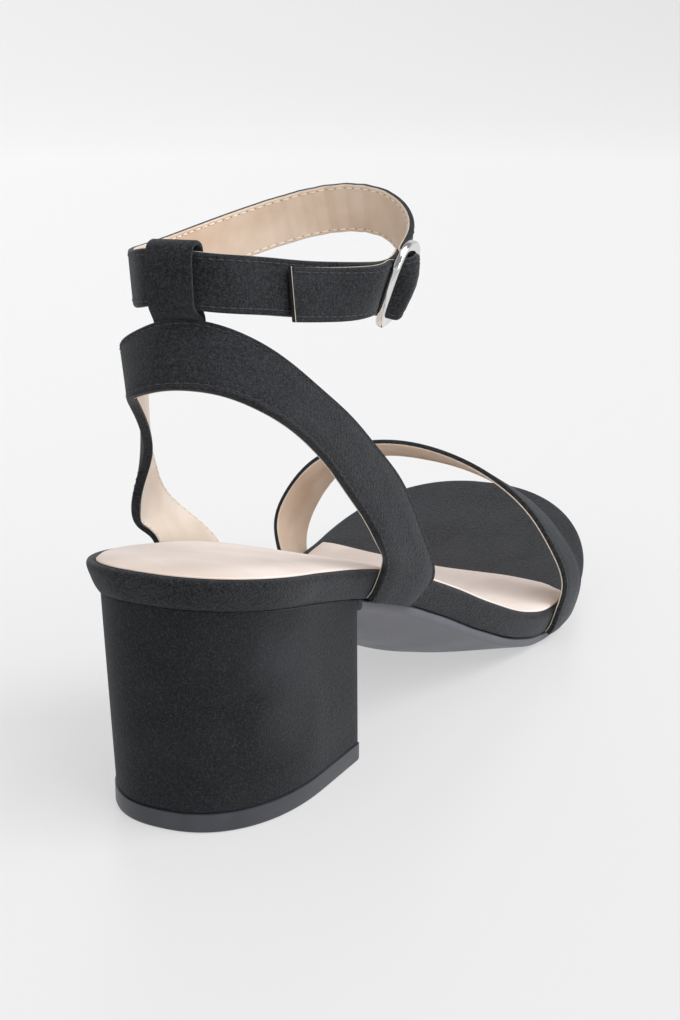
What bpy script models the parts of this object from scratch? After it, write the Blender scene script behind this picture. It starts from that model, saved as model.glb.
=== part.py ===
"""Block heel sandal for the right foot, built piece by piece.

Working frame while building: x points to the outer (lateral) side of the foot,
y from the back of the heel to the toe, z up from the floor, in millimetres.
The finished pieces are scaled to metres and centred over the origin.
"""

import math
from collections import namedtuple

import bmesh
import bpy
import numpy as np

MM = 0.001
GAP = 0.3                  # clearance between pieces that are glued or sewn together

# Footbed (suede-wrapped board): outline and profile
LENGTH = 242.0             # back of the heel rim to the tip of the toe, along the floor
SEAT_HALF_WIDTH = 24.5     # half width of the heel seat
SEAT_DEPTH = 36.0          # length of the rounded back of the seat
SEAT_POWER = 2.3           # squareness of that round
TOE_TIP_X = -15.0          # the toe point lies on the inner side of the heel axis
TOE_ROUND_MEDIAL = 50.0    # length of the toe round, inner side
TOE_ROUND_LATERAL = 82.0   # length of the toe round, outer side
TOE_POWER_MEDIAL = 2.4
TOE_POWER_LATERAL = 2.0
BOARD = 6.9                # thickness of the wrapped board
OUTSOLE = 2.5              # thickness of the rubber outsole
SOCK = 0.5                 # thickness of the beige sock
SOCK_INSET = 1.6           # width of the dark border left round the sock
SOCK_FRONT_MEDIAL = 183.0  # front edge of the sock, inner end
SOCK_FRONT_LATERAL = 176.5  # front edge of the sock, outer end
SOCK_FRONT_POWER = 8       # how late the inner side of the sock runs ahead of the outer
OUTSOLE_START = 59.8       # y where the outsole begins, against the heel breast

# Heel
TOP_PIECE = 4.5            # thickness of the rubber top piece
HEEL_FOOT_BACK = 7.6       # y of the back of the heel at the floor
HEEL_FOOT_BREAST = 60.6    # y of the breast at the floor
HEEL_FOOT_HALF = 22.5
HEEL_HEAD_BACK = 2.6       # y of the back of the heel under the seat
HEEL_HEAD_BREAST = 58.9
HEEL_HEAD_HALF = 22.9
HEEL_ROUND = 34.8          # length of the rounded back
HEEL_POWER_FOOT = 2.35
HEEL_POWER_HEAD = 2.15
TOP_PIECE_LIP = 0.25       # how far the top piece stands out past the heel
TOP_PIECE_CHAMFER = 0.6    # broken edge of the top piece at the floor

# Straps
STRAP = 1.6                # suede and lining together
STRAP_STANDOFF = 1.265     # middle of a strap to the rim that it lies against
ANKLE_WIDTH = 12.0
LOOP_WIDTH = 10.3
LOOP_LEAN = 0.4            # how far the loop's top leans to the inner side
LOOP_WALL = 1.0
LOOP_SLACK = 1.0           # room beside and above the ankle strap inside the loop
LOOP_CROWN = 0.5           # flat share of the loop's folded top
LOOP_FLOOR = 0.6           # flat share of the seat under the strap
LOOP_REACH = 0.6           # share of the loop's width that the seat must clear, each side

# Buckle
FRAME_HALF_LENGTH = 7.5    # centre of the rail, along the strap
FRAME_HALF_HEIGHT = 8.8    # centre of the rail, across the strap
FRAME_POWER = 4.2          # squareness of the frame
FRAME_RAIL = 2.2           # width of the rail
FRAME_THICK = 1.4
FRAME_BOW = 1.9            # how far the end rails stand proud of the bar
BAR_RADIUS = 1.0           # half width of the bar, along the strap
BAR_HALF_THICK = 0.64
LAYER_STEP = 2.1           # bar axis to the middle of the strap behind it
HUMP = 3.5                 # bar axis to the middle of the strap that bulges over it

Edge = namedtuple("Edge", "y medial_x lateral_x")
WAIST_EDGES = [
    Edge(36.0, -24.5, 24.5),
    Edge(60.0, -24.2, 26.2),
    Edge(85.0, -23.2, 28.6),
    Edge(105.0, -25.8, 31.2),
    Edge(125.0, -32.4, 33.8),
    Edge(145.0, -41.4, 35.7),
    Edge(160.0, -46.6, 36.2),
    Edge(175.0, -49.8, 35.0),
    Edge(192.0, -51.0, 33.0),
]

Height = namedtuple("Height", "y z")
FOOTBED_HEIGHTS = [
    Height(0.0, 60.4),
    Height(20.0, 56.4),
    Height(40.0, 52.2),
    Height(60.0, 47.4),
    Height(80.0, 40.6),
    Height(100.0, 31.8),
    Height(120.0, 22.0),
    Height(140.0, 13.7),
    Height(153.0, 10.5),
    Height(163.0, 9.7),
    Height(180.0, 9.7),
    Height(190.0, 10.4),
    Height(201.0, 11.8),
    Height(213.0, 13.6),
    Height(226.0, 15.9),
    Height(242.0, 18.9),
]

# How far the middle of the outsole swells below its edges under the waist
Belly = namedtuple("Belly", "y depth")
OUTSOLE_BELLY = [
    Belly(55.0, 5.4),
    Belly(85.0, 8.0),
    Belly(105.0, 7.8),
    Belly(125.0, 6.2),
    Belly(139.0, 3.6),
    Belly(150.0, 1.0),
    Belly(158.0, 0.0),
    Belly(242.0, 0.0),
]

# Section of the board's rim, from the flat top round to the flat underside
Rim = namedtuple("Rim", "inset drop")
RIM_SECTION = [
    Rim(3.0, 0.0),
    Rim(1.0, 0.05),
    Rim(0.2, 0.5),
    Rim(0.0, 1.2),
    Rim(0.7, 3.6),
    Rim(1.7, 5.9),
    Rim(2.4, BOARD),
]
RIM_WIDEST = 3             # row of the section where the rim is widest
OUTSOLE_SECTION = [
    Rim(3.0, 0.0),
    Rim(2.5, 0.4),
    Rim(2.5, 1.6),
    Rim(3.4, OUTSOLE),
]

# Rows of a strap: its two edges at one station
Row = namedtuple("Row", "rear_x rear_y rear_z front_x front_y front_z")
QUARTER_LATERAL = [
    Row(30.6, 55.9, 54.6, 31.4, 77.0, 49.5),
    Row(29.8, 48.3, 62.5, 30.4, 72.2, 58.4),
    Row(28.8, 41.9, 69.6, 29.2, 66.5, 67.4),
    Row(27.8, 34.1, 77.7, 28.0, 56.6, 76.8),
    Row(25.7, 26.0, 85.5, 26.5, 44.8, 87.0),
    Row(21.6, 18.9, 91.8, 23.5, 34.4, 95.5),
    Row(15.1, 15.2, 95.4, 17.7, 28.5, 102.6),
    Row(8.0, 13.8, 96.5, 9.1, 23.2, 108.1),
]
QUARTER_BACK = [
    Row(0.0, 13.1, 96.0, 0.0, 19.4, 109.8),
]
QUARTER_MEDIAL = [
    Row(-8.3, 15.6, 93.4, -9.2, 20.4, 106.9),
    Row(-13.8, 23.8, 89.6, -17.0, 25.5, 102.2),
    Row(-17.6, 32.7, 82.6, -20.6, 37.6, 94.5),
    Row(-20.5, 39.6, 74.6, -25.3, 46.2, 84.4),
    Row(-24.6, 43.5, 67.4, -29.6, 54.0, 73.8),
    Row(-28.0, 45.8, 60.5, -31.6, 60.5, 64.6),
    Row(-29.3, 48.6, 54.4, -31.8, 68.0, 55.2),
]

# Where a strap leaves the rim: y of its rear and front edge, at the top of the
# rim and where it turns in under the board
Base = namedtuple("Base", "rear front rear_low front_low")
QUARTER_BASE_LATERAL = Base(63.2, 83.5, 61.4, 79.0)
QUARTER_BASE_MEDIAL = Base(51.6, 79.0, 51.2, 76.0)

TOE_STRAP_ROWS = [
    Row(38.6, 157.0, 17.0, 37.2, 173.0, 16.0),
    Row(34.2, 159.5, 25.0, 32.2, 175.5, 22.4),
    Row(26.5, 161.8, 33.2, 24.2, 178.0, 29.0),
    Row(15.0, 164.0, 40.8, 12.8, 180.2, 35.2),
    Row(1.0, 165.6, 46.2, -1.2, 181.8, 39.8),
    Row(-14.0, 166.2, 48.4, -15.0, 182.8, 41.2),
    Row(-29.0, 165.8, 46.3, -28.8, 183.4, 40.4),
    Row(-41.3, 164.6, 40.0, -40.2, 183.4, 35.4),
    Row(-48.4, 162.6, 31.0, -47.6, 183.0, 28.4),
    Row(-51.2, 160.4, 21.6, -51.4, 181.8, 20.0),
]
TOE_BASE_LATERAL = Base(155.0, 171.0, 154.5, 170.0)
TOE_BASE_MEDIAL = Base(158.5, 179.0, 158.0, 178.0)

# Ankle strap: middle of the strap, height of its middle, lean of its top edge
# outward, and how far the middle stands out from the table point
Station = namedtuple("Station", "x y z lean out")
ANKLE_STATIONS = [
    Station(24.6, 78.0, 112.6, 18.0, -LAYER_STEP),
    Station(26.6, 70.5, 111.8, 18.0, -LAYER_STEP),
    Station(26.8, 61.5, 111.8, 16.0, -LAYER_STEP),
    Station(24.0, 50.5, 112.8, 0.0, -LAYER_STEP),
    Station(19.8, 40.0, 114.2, -9.0, -LAYER_STEP),
    Station(14.6, 30.0, 116.1, -9.0, -1.0),
    Station(8.0, 19.9, 117.9, -3.0, 0.0),
    Station(0.0, 18.5, 118.3, 0.0, 0.0),
    Station(-7.3, 19.0, 118.0, 2.0, 0.0),
    Station(-13.1, 24.4, 116.4, 4.0, 0.0),
    Station(-19.3, 33.6, 115.7, 4.0, 0.0),
    Station(-24.2, 45.5, 115.0, 2.0, 0.0),
    Station(-26.0, 58.5, 114.8, 0.0, 0.0),
    Station(-24.4, 71.0, 116.2, -4.0, 0.0),
    Station(-19.0, 82.0, 118.8, -8.0, 0.0),
    Station(-10.4, 91.0, 121.8, -13.0, 0.0),
    Station(0.0, 96.4, 124.0, -16.0, 0.0),
    Station(10.0, 96.6, 123.6, -14.0, 0.0),
    Station(17.6, 92.6, 120.7, -3.0, 0.0),
    Station(22.1, 85.8, 116.5, 10.0, 0.0),
    Station(24.6, 78.6, 113.0, 18.0, -0.2),
    Station(25.3, 76.2, 112.5, 18.0, -0.1),
    Station(26.1, 73.6, 112.1, 18.0, 2.0),
    Station(26.6, 70.5, 111.8, 18.0, HUMP),
    Station(26.8, 67.4, 111.8, 18.0, 2.0),
    Station(26.8, 64.8, 111.9, 17.0, -0.1),
    Station(26.8, 62.2, 111.8, 16.0, -0.2),
    Station(24.0, 50.5, 112.1, 0.0, 0.0),
    Station(19.8, 40.0, 113.3, -8.0, 0.2),
    Station(17.4, 34.4, 114.2, -10.0, 0.5),
]
LOOP_STATION = 7           # row of the table inside the back loop
BUCKLE_STATION = 23        # row of the table at the bar of the buckle

# Facet counts
HEEL_STEPS = 12
HEEL_SIDE_STEPS = 4
HEEL_LEVELS = 5
WAIST_STEPS = 17
TOE_STEPS = 13
STRAP_COLUMNS = 5
ANKLE_COLUMNS = 3
BELLY_COLUMNS = 8
QUARTER_STEPS = 56
TOE_STRAP_STEPS = 36
ANKLE_STEPS = 96
FRAME_STEPS = 40
RAIL_SIDES = 8
BAR_SIDES = 10
STATION_CLEAR = 1.0        # least distance from a cut end to the next station

# Small steps for slopes and for welding
SLOPE_STEP = 0.5
EDGE_STEP = 0.05
WELD = 0.00001

# Colours (linear) and surfaces
SUEDE = (0.021, 0.021, 0.023)
BEIGE = (0.72, 0.56, 0.45)
RUBBER = (0.075, 0.077, 0.090)
SILVER = (0.80, 0.80, 0.80)
SUEDE_ROUGH = 0.9
BEIGE_ROUGH = 0.55
OUTSOLE_ROUGH = 0.45
TOP_PIECE_ROUGH = 0.5
SILVER_ROUGH = 0.12


def monotone(table_x, table_y, at):
    """Cubic through the table rows that never overshoots between two of them."""
    xs = np.asarray(table_x, float)
    ys = np.asarray(table_y, float)
    step = np.diff(xs)
    rise = np.diff(ys) / step
    slope = np.zeros_like(xs)
    for i in range(1, len(xs) - 1):
        if rise[i - 1] * rise[i] > 0.0:
            before = 2.0 * step[i] + step[i - 1]
            after = step[i] + 2.0 * step[i - 1]
            slope[i] = (before + after) / (before / rise[i - 1] + after / rise[i])
    slope[0] = rise[0]
    slope[-1] = rise[-1]
    at = np.clip(np.asarray(at, float), xs[0], xs[-1])
    k = np.clip(np.searchsorted(xs, at) - 1, 0, len(step) - 1)
    t = (at - xs[k]) / step[k]
    rest = 1.0 - t
    return (ys[k] * (1.0 + 2.0 * t) * rest ** 2 + ys[k + 1] * t ** 2 * (3.0 - 2.0 * t)
            + step[k] * (slope[k] * t * rest ** 2 - slope[k + 1] * t ** 2 * rest))


def natural(knots, values, at):
    """Smooth natural cubic spline; values may hold several columns."""
    knots = np.asarray(knots, float)
    values = np.asarray(values, float)
    count = len(knots)
    step = np.diff(knots)
    system = np.zeros((count, count))
    right = np.zeros((count,) + values.shape[1:])
    system[0, 0] = 1.0
    system[-1, -1] = 1.0
    for i in range(1, count - 1):
        system[i, i - 1] = step[i - 1]
        system[i, i] = 2.0 * (step[i - 1] + step[i])
        system[i, i + 1] = step[i]
        right[i] = 6.0 * ((values[i + 1] - values[i]) / step[i]
                          - (values[i] - values[i - 1]) / step[i - 1])
    bend = np.linalg.solve(system, right.reshape(count, -1)).reshape(right.shape)
    at = np.asarray(at, float)
    k = np.clip(np.searchsorted(knots, at) - 1, 0, count - 2)
    shape = (-1,) + (1,) * (values.ndim - 1)
    h = step[k].reshape(shape)
    a = (knots[k + 1] - at).reshape(shape) / h
    b = (at - knots[k]).reshape(shape) / h
    return (a * values[k] + b * values[k + 1]
            + ((a ** 3 - a) * bend[k] + (b ** 3 - b) * bend[k + 1]) * h ** 2 / 6.0)


def arc_knots(points):
    """Running length along a row of points, from 0 to 1."""
    length = np.linalg.norm(np.diff(points, axis=0), axis=1)
    run = np.concatenate([[0.0], np.cumsum(length)])
    return run / run[-1]


def footbed_z(y):
    """Height of the top of the board."""
    return monotone([r.y for r in FOOTBED_HEIGHTS], [r.z for r in FOOTBED_HEIGHTS], y)


def steepness(y):
    """How much longer a thickness reads vertically on the sloping footbed."""
    ahead = footbed_z(np.add(y, SLOPE_STEP))
    behind = footbed_z(np.subtract(y, SLOPE_STEP))
    slope = (ahead - behind) / (2.0 * SLOPE_STEP)
    return np.sqrt(1.0 + slope ** 2)


def super_round(t, power):
    """Ordinate of a rounded end: 1 at t = 0, 0 at t = 1."""
    return (1.0 - np.clip(t, 0.0, 1.0) ** power) ** (1.0 / power)


def edge_x(y, lateral):
    """Outline of the board at one station, on one side."""
    y = np.asarray(y, float)
    side = 1.0 if lateral else -1.0
    column = [r.lateral_x if lateral else r.medial_x for r in WAIST_EDGES]
    x = monotone([r.y for r in WAIST_EDGES], column, y)
    seat = side * SEAT_HALF_WIDTH * super_round(1.0 - y / SEAT_DEPTH, SEAT_POWER)
    x = np.where(y < SEAT_DEPTH, seat, x)
    reach = TOE_ROUND_LATERAL if lateral else TOE_ROUND_MEDIAL
    power = TOE_POWER_LATERAL if lateral else TOE_POWER_MEDIAL
    start = LENGTH - reach
    widest = float(monotone([r.y for r in WAIST_EDGES], column, start))
    toe = TOE_TIP_X + (widest - TOE_TIP_X) * super_round((y - start) / reach, power)
    return np.where(y > start, toe, x)


def stations(first=0.0, last=LENGTH):
    """Stations along the foot, closer together round the heel and the toe."""
    turn = np.linspace(0.0, math.pi / 2.0, HEEL_STEPS + 1)
    heel = SEAT_DEPTH * (1.0 - np.cos(turn))
    toe_start = LENGTH - TOE_ROUND_LATERAL
    waist = np.linspace(SEAT_DEPTH, toe_start, WAIST_STEPS + 1)
    turn = np.linspace(0.0, math.pi / 2.0, TOE_STEPS + 1)
    toe = toe_start + TOE_ROUND_LATERAL * np.sin(turn)
    rows = np.concatenate([heel[:-1], waist[:-1], toe])
    inside = rows[(rows > first + STATION_CLEAR) & (rows < last - STATION_CLEAR)]
    return np.concatenate([[first], inside, [last]])


def outline_side(rows, lateral, inset):
    """Board outline moved inward by an inset, one point for each station."""
    y = np.asarray(rows, float)
    x = edge_x(y, lateral)
    low = np.clip(y - EDGE_STEP, 0.0, LENGTH)
    high = np.clip(y + EDGE_STEP, 0.0, LENGTH)
    dx = edge_x(high, lateral) - edge_x(low, lateral)
    dy = high - low
    side = 1.0 if lateral else -1.0
    size = np.hypot(dx, dy)
    normal = np.stack([side * dy / size, -side * dx / size], axis=1)
    normal[y <= 0.0] = (0.0, -1.0)
    normal[y >= LENGTH] = (0.0, 1.0)
    return np.stack([x, y], axis=1) - inset * normal


def ring(rows, inset, height):
    """Closed ring of the board outline: inner side heel to toe, then outer side back."""
    sides = []
    for lateral in (False, True):
        flat = outline_side(rows, lateral, inset)
        sides.append(np.column_stack([flat, height(flat[:, 1])]))
    return sides


def heel_ring(half, back, breast, power, height):
    """Ring of the heel: rounded back, straight sides, flat breast."""
    turn = np.linspace(0.0, math.pi / 2.0, HEEL_STEPS + 1)
    y_round = back + HEEL_ROUND * (1.0 - np.cos(turn))
    x_round = half * super_round(np.cos(turn), power)
    y_side = np.linspace(back + HEEL_ROUND, breast, HEEL_SIDE_STEPS + 1)[1:]
    y = np.concatenate([y_round, y_side])
    x = np.concatenate([x_round, np.full(len(y_side), half)])
    z = height(y)
    return [np.column_stack([-x, y, z]), np.column_stack([x, y, z])]


def make_object(name, points, faces, material, parent):
    """Closed mesh object with outward normals, smooth shading and one material."""
    mesh = bpy.data.meshes.new(name)
    mesh.from_pydata([tuple(float(v) * MM for v in p) for p in points], [], faces)
    body = bmesh.new()
    body.from_mesh(mesh)
    bmesh.ops.remove_doubles(body, verts=body.verts, dist=WELD)
    bmesh.ops.triangulate(body, faces=body.faces)
    bmesh.ops.recalc_face_normals(body, faces=body.faces)
    body.to_mesh(mesh)
    body.free()
    mesh.polygons.foreach_set("use_smooth", [True] * len(mesh.polygons))
    mesh.materials.append(material)
    made = bpy.data.objects.new(name, mesh)
    made.parent = parent
    bpy.context.scene.collection.objects.link(made)
    return made


def loft(name, rings, material, parent, belly=None):
    """Solid through rings of paired sides, closed by rungs across the first and last.

    A belly lowers the rungs of the last ring between their ends.
    """
    points = []
    faces = []
    pair_count = len(rings[0][0])
    loop = 2 * pair_count
    for inner, outer in rings:
        points.extend(inner)
        points.extend(outer[::-1])

    def vertex(level, i):
        return level * loop + i % loop

    for level in range(len(rings) - 1):
        for i in range(loop):
            quad = (vertex(level, i), vertex(level, i + 1),
                    vertex(level + 1, i + 1), vertex(level + 1, i))
            faces.append(quad)
    for level in (0, len(rings) - 1):
        if belly and level:
            continue
        for i in range(pair_count - 1):
            quad = (vertex(level, i), vertex(level, i + 1),
                    vertex(level, loop - 2 - i), vertex(level, loop - 1 - i))
            faces.append(quad)
    if belly:
        start = len(points)
        share = np.linspace(0.0, 1.0, BELLY_COLUMNS + 1)
        for inner, outer in zip(*rings[-1]):
            rung = inner + (outer - inner) * share[:, None]
            rung[:, 2] -= belly(rung[:, 1]) * (1.0 - (2.0 * share - 1.0) ** 2)
            rung[:, 2] = np.maximum(rung[:, 2], 0.0)
            points.extend(rung)
        row = BELLY_COLUMNS + 1
        for i in range(pair_count - 1):
            for j in range(BELLY_COLUMNS):
                a = start + i * row + j
                faces.append((a, a + 1, a + row + 1, a + row))
        faces.append(tuple(range(start, start + row)))
    return make_object(name, points, faces, material, parent)


def sheet(name, middle, thickness, material, parent):
    """Solid of constant thickness about a grid of points (rows along, columns across)."""
    along = np.gradient(middle, axis=0)
    across = np.gradient(middle, axis=1)
    normal = np.cross(along, across)
    normal /= np.linalg.norm(normal, axis=2, keepdims=True)
    rows, columns, _ = middle.shape
    near = (middle + normal * thickness / 2.0).reshape(-1, 3)
    far = (middle - normal * thickness / 2.0).reshape(-1, 3)
    points = np.concatenate([near, far])
    other = rows * columns
    faces = []
    for i in range(rows - 1):
        for j in range(columns - 1):
            a = i * columns + j
            quad = (a, a + 1, a + columns + 1, a + columns)
            faces.append(quad)
            faces.append(tuple(v + other for v in quad))
    border = list(range(columns))
    border += [i * columns + columns - 1 for i in range(1, rows)]
    border += [(rows - 1) * columns + j for j in range(columns - 2, -1, -1)]
    border += [i * columns for i in range(rows - 2, 0, -1)]
    for a, b in zip(border, border[1:] + border[:1]):
        faces.append((a, b, b + other, a + other))
    return make_object(name, points, faces, material, parent)


def rim_rows(base, lateral):
    """Middle of a strap where it lies against the rim: a row for each rim level, upward."""
    rows = []
    widest = RIM_SECTION[RIM_WIDEST]
    for level in RIM_SECTION[RIM_WIDEST:][::-1]:
        turn = (level.drop - widest.drop) / (BOARD - widest.drop)
        rear = base.rear + (base.rear_low - base.rear) * turn
        front = base.front + (base.front_low - base.front) * turn
        y = np.linspace(rear, front, STRAP_COLUMNS)
        flat = outline_side(y, lateral, level.inset - STRAP_STANDOFF)
        rows.append(np.column_stack([flat, footbed_z(y) - level.drop * steepness(y)]))
    return rows


def strap_grid(table):
    """Strap middle between its two edges: a row of points for each table row."""
    share = np.linspace(0.0, 1.0, STRAP_COLUMNS)[:, None]
    rows = []
    for row in table:
        rear = np.array(row[:3])
        front = np.array(row[3:])
        rows.append(rear + (front - rear) * share)
    return rows


def smooth_grid(rows, steps):
    """Rows of a strap joined by one smooth surface."""
    grid = np.array(rows)
    knots = arc_knots(grid[:, STRAP_COLUMNS // 2])
    return natural(knots, grid, np.linspace(0.0, 1.0, steps + 1))


def quarter_middle():
    """Back strap: up from the outer rim, round behind the ankle, down to the inner rim."""
    rows = rim_rows(QUARTER_BASE_LATERAL, True)
    rows += strap_grid(QUARTER_LATERAL + QUARTER_BACK + QUARTER_MEDIAL)
    rows += rim_rows(QUARTER_BASE_MEDIAL, False)[::-1]
    return smooth_grid(rows, QUARTER_STEPS)


def toe_strap_middle():
    """Toe strap: one arch over the forefoot, from the outer rim to the inner rim."""
    rows = rim_rows(TOE_BASE_LATERAL, True)
    rows += strap_grid(TOE_STRAP_ROWS)
    rows += rim_rows(TOE_BASE_MEDIAL, False)[::-1]
    return smooth_grid(rows, TOE_STRAP_STEPS)


def ankle_frames(steps):
    """Middle line of the ankle strap with its width and outward directions."""
    table = np.array(ANKLE_STATIONS)
    line = table[:, :3]
    way = np.gradient(line, axis=0)
    way[0] = line[1] - line[0]
    way[-1] = line[-1] - line[-2]
    out = np.column_stack([-way[:, 1], way[:, 0], np.zeros(len(line))])
    out /= np.linalg.norm(out, axis=1, keepdims=True)
    line = line + out * table[:, 4:5]
    knots = arc_knots(line)
    at = np.unique(np.concatenate([np.linspace(0.0, 1.0, steps + 1), knots]))
    middle = natural(knots, line, at)
    lean = np.radians(natural(knots, table[:, 3], at))[:, None]
    tangent = np.gradient(middle, at, axis=0)
    tangent /= np.linalg.norm(tangent, axis=1, keepdims=True)
    outward = np.cross([0.0, 0.0, 1.0], tangent)
    outward /= np.linalg.norm(outward, axis=1, keepdims=True)
    upright = np.cross(tangent, outward)
    across = np.cos(lean) * upright + np.sin(lean) * outward
    bar = int(np.argmin(np.abs(at - knots[BUCKLE_STATION])))
    return middle, across, tangent, bar


def ankle_middle():
    """Ankle strap: buckle end, through the loop, round the ankle, tail over the buckle."""
    middle, across, _, _ = ankle_frames(ANKLE_STEPS)
    half = ANKLE_WIDTH / 2.0
    offset = np.linspace(-half, half, ANKLE_COLUMNS)[None, :, None]
    return middle[:, None, :] + across[:, None, :] * offset


def tube_ring(name, centres, sides, fronts, half_side, half_front, material, parent):
    """Closed ring swept along centres with a rounded flat section."""
    half_turn = math.pi / RAIL_SIDES
    corner = np.linspace(0.0, 2.0 * math.pi, RAIL_SIDES + 1)[:-1] + half_turn
    section = np.stack([np.cos(corner) * half_side, np.sin(corner) * half_front], axis=1)
    section /= math.cos(half_turn)
    points = []
    faces = []
    count = len(centres)
    around = len(section)
    for c, s, f in zip(centres, sides, fronts):
        points.extend(c + s * a + f * b for a, b in section)
    for i in range(count):
        for j in range(around):
            k = (i + 1) % count
            m = (j + 1) % around
            faces.append((i * around + j, i * around + m, k * around + m, k * around + j))
    return make_object(name, points, faces, material, parent)


def buckle(material, parent):
    """Oval frame bowed over the strap, with a bar across its middle."""
    middle, across, tangent, bar = ankle_frames(ANKLE_STEPS)
    up = across[bar]
    way = tangent[bar]
    out = np.cross(up, way)
    centre = middle[bar] - out * HUMP
    turn = np.linspace(0.0, 2.0 * math.pi, FRAME_STEPS + 1)[:-1]
    power = 2.0 / FRAME_POWER
    along = FRAME_HALF_LENGTH * np.sign(np.cos(turn)) * np.abs(np.cos(turn)) ** power
    high = FRAME_HALF_HEIGHT * np.sign(np.sin(turn)) * np.abs(np.sin(turn)) ** power
    bow = FRAME_BOW * (along / FRAME_HALF_LENGTH) ** 2
    centres = centre + along[:, None] * way + high[:, None] * up + bow[:, None] * out
    run = np.roll(centres, -1, axis=0) - np.roll(centres, 1, axis=0)
    run /= np.linalg.norm(run, axis=1, keepdims=True)
    fronts = out - run * (run @ out)[:, None]
    fronts /= np.linalg.norm(fronts, axis=1, keepdims=True)
    sides = np.cross(run, fronts)
    frame = tube_ring("buckle", centres, sides, fronts, FRAME_RAIL / 2.0,
                      FRAME_THICK / 2.0, material, parent)
    corner = np.linspace(0.0, 2.0 * math.pi, BAR_SIDES + 1)[:-1]
    ends = (-FRAME_HALF_HEIGHT, FRAME_HALF_HEIGHT)
    points = []
    for end in ends:
        for a in corner:
            points.append(centre + up * end + way * BAR_RADIUS * math.cos(a)
                          + out * BAR_HALF_THICK * math.sin(a))
    count = len(corner)
    faces = [tuple(range(count)), tuple(range(2 * count - 1, count - 1, -1))]
    for j in range(count):
        k = (j + 1) % count
        faces.append((j, k, count + k, count + j))
    rod = make_object("buckle_bar", points, faces, material, parent)
    join = frame.modifiers.new("bar", "BOOLEAN")
    join.operation = "UNION"
    join.solver = "EXACT"
    join.object = rod
    bpy.context.view_layer.update()
    shape = bpy.data.meshes.new_from_object(
        frame.evaluated_get(bpy.context.evaluated_depsgraph_get()))
    frame.modifiers.clear()
    frame.data = shape
    bpy.data.objects.remove(rod)
    return frame


def back_loop(material, parent):
    """Loop on the back strap that carries the ankle strap: a ring in the y-z plane."""
    row = QUARTER_BACK[0]
    strap = ANKLE_STATIONS[LOOP_STATION]
    foot_y = row.front_y
    foot_z = row.front_z + GAP
    grid = ankle_middle()
    lower = grid[:, 0]
    held = np.abs(lower[:, 0]) < LOOP_WIDTH * LOOP_REACH
    held &= np.abs(lower[:, 1] - strap.y) < LOOP_WIDTH
    seat = float(lower[held, 2].min()) - GAP
    half_gap = STRAP / 2.0 + LOOP_SLACK
    top = strap.z + ANKLE_WIDTH / 2.0 + LOOP_SLACK
    low = seat + GAP
    crown = LOOP_CROWN
    floor = LOOP_FLOOR * half_gap
    hole = [(strap.y - half_gap, low), (strap.y - half_gap, top - half_gap),
            (strap.y - half_gap * crown, top), (strap.y + half_gap * crown, top),
            (strap.y + half_gap, top - half_gap), (strap.y + half_gap, low),
            (strap.y + floor, seat), (strap.y - floor, seat)]
    wall = half_gap + LOOP_WALL
    roof = top + LOOP_WALL
    skin = [(strap.y - wall, low), (strap.y - wall, top - half_gap),
            (strap.y - wall * crown, roof), (strap.y + wall * crown, roof),
            (strap.y + wall, top - half_gap), (strap.y + wall, low),
            (foot_y + STRAP / 2.0, foot_z), (foot_y - STRAP / 2.0, foot_z)]
    points = []
    for x in (-LOOP_WIDTH / 2.0, LOOP_WIDTH / 2.0):
        for y, z in skin + hole:
            points.append((x - LOOP_LEAN * (z - foot_z) / (roof - foot_z), y, z))
    count = len(skin)
    faces = []
    for j in range(count):
        k = (j + 1) % count
        faces.append((j, k, count + k, count + j))
        faces.append((2 * count + j, 2 * count + k, 3 * count + k, 3 * count + j))
        faces.append((j, k, 2 * count + k, 2 * count + j))
        faces.append((count + j, count + k, 3 * count + k, 3 * count + j))
    return make_object("back_loop", points, faces, material, parent)


def sock(material, parent):
    """Beige sock lying on the board as far as its straight front edge."""
    rows = stations(0.0, SOCK_FRONT_LATERAL)

    def side(lateral, inset):
        flat = outline_side(rows, lateral, inset)
        reach = 0.0 if lateral else SOCK_FRONT_MEDIAL - SOCK_FRONT_LATERAL
        share = np.clip(flat[:, 1] / SOCK_FRONT_LATERAL, 0.0, 1.0) ** SOCK_FRONT_POWER
        y = flat[:, 1] + reach * share
        x = outline_side(y, lateral, inset)[:, 0] if not lateral else flat[:, 0]
        x = np.where(flat[:, 1] > SEAT_DEPTH, x, flat[:, 0])
        return np.column_stack([x, y])

    def level(inset, rise):
        pair = []
        for lateral in (False, True):
            flat = side(lateral, inset)
            lift = rise * steepness(flat[:, 1])
            pair.append(np.column_stack([flat, footbed_z(flat[:, 1]) + lift]))
        return pair

    rings = [level(SOCK_INSET, GAP / 2.0), level(SOCK_INSET, GAP / 2.0 + SOCK)]
    return loft("sock", rings, material, parent)


def finish(name, colour, roughness, metallic=0.0):
    """Plain material: base colour, roughness, metal or not."""
    made = bpy.data.materials.new(name)
    made.use_nodes = True
    shader = made.node_tree.nodes["Principled BSDF"]
    shader.inputs["Base Color"].default_value = (*colour, 1.0)
    shader.inputs["Roughness"].default_value = roughness
    shader.inputs["Metallic"].default_value = metallic
    return made


def centre_over_origin(root):
    """Shift the root so that the box of all pieces stands centred over the origin."""
    corners = []
    for piece in root.children:
        corners.extend(tuple(v.co) for v in piece.data.vertices)
    corners = np.array(corners)
    low = corners.min(axis=0)
    high = corners.max(axis=0)
    middle = (low + high) / 2.0
    root.location = (-float(middle[0]), -float(middle[1]), -float(low[2]))


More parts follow.
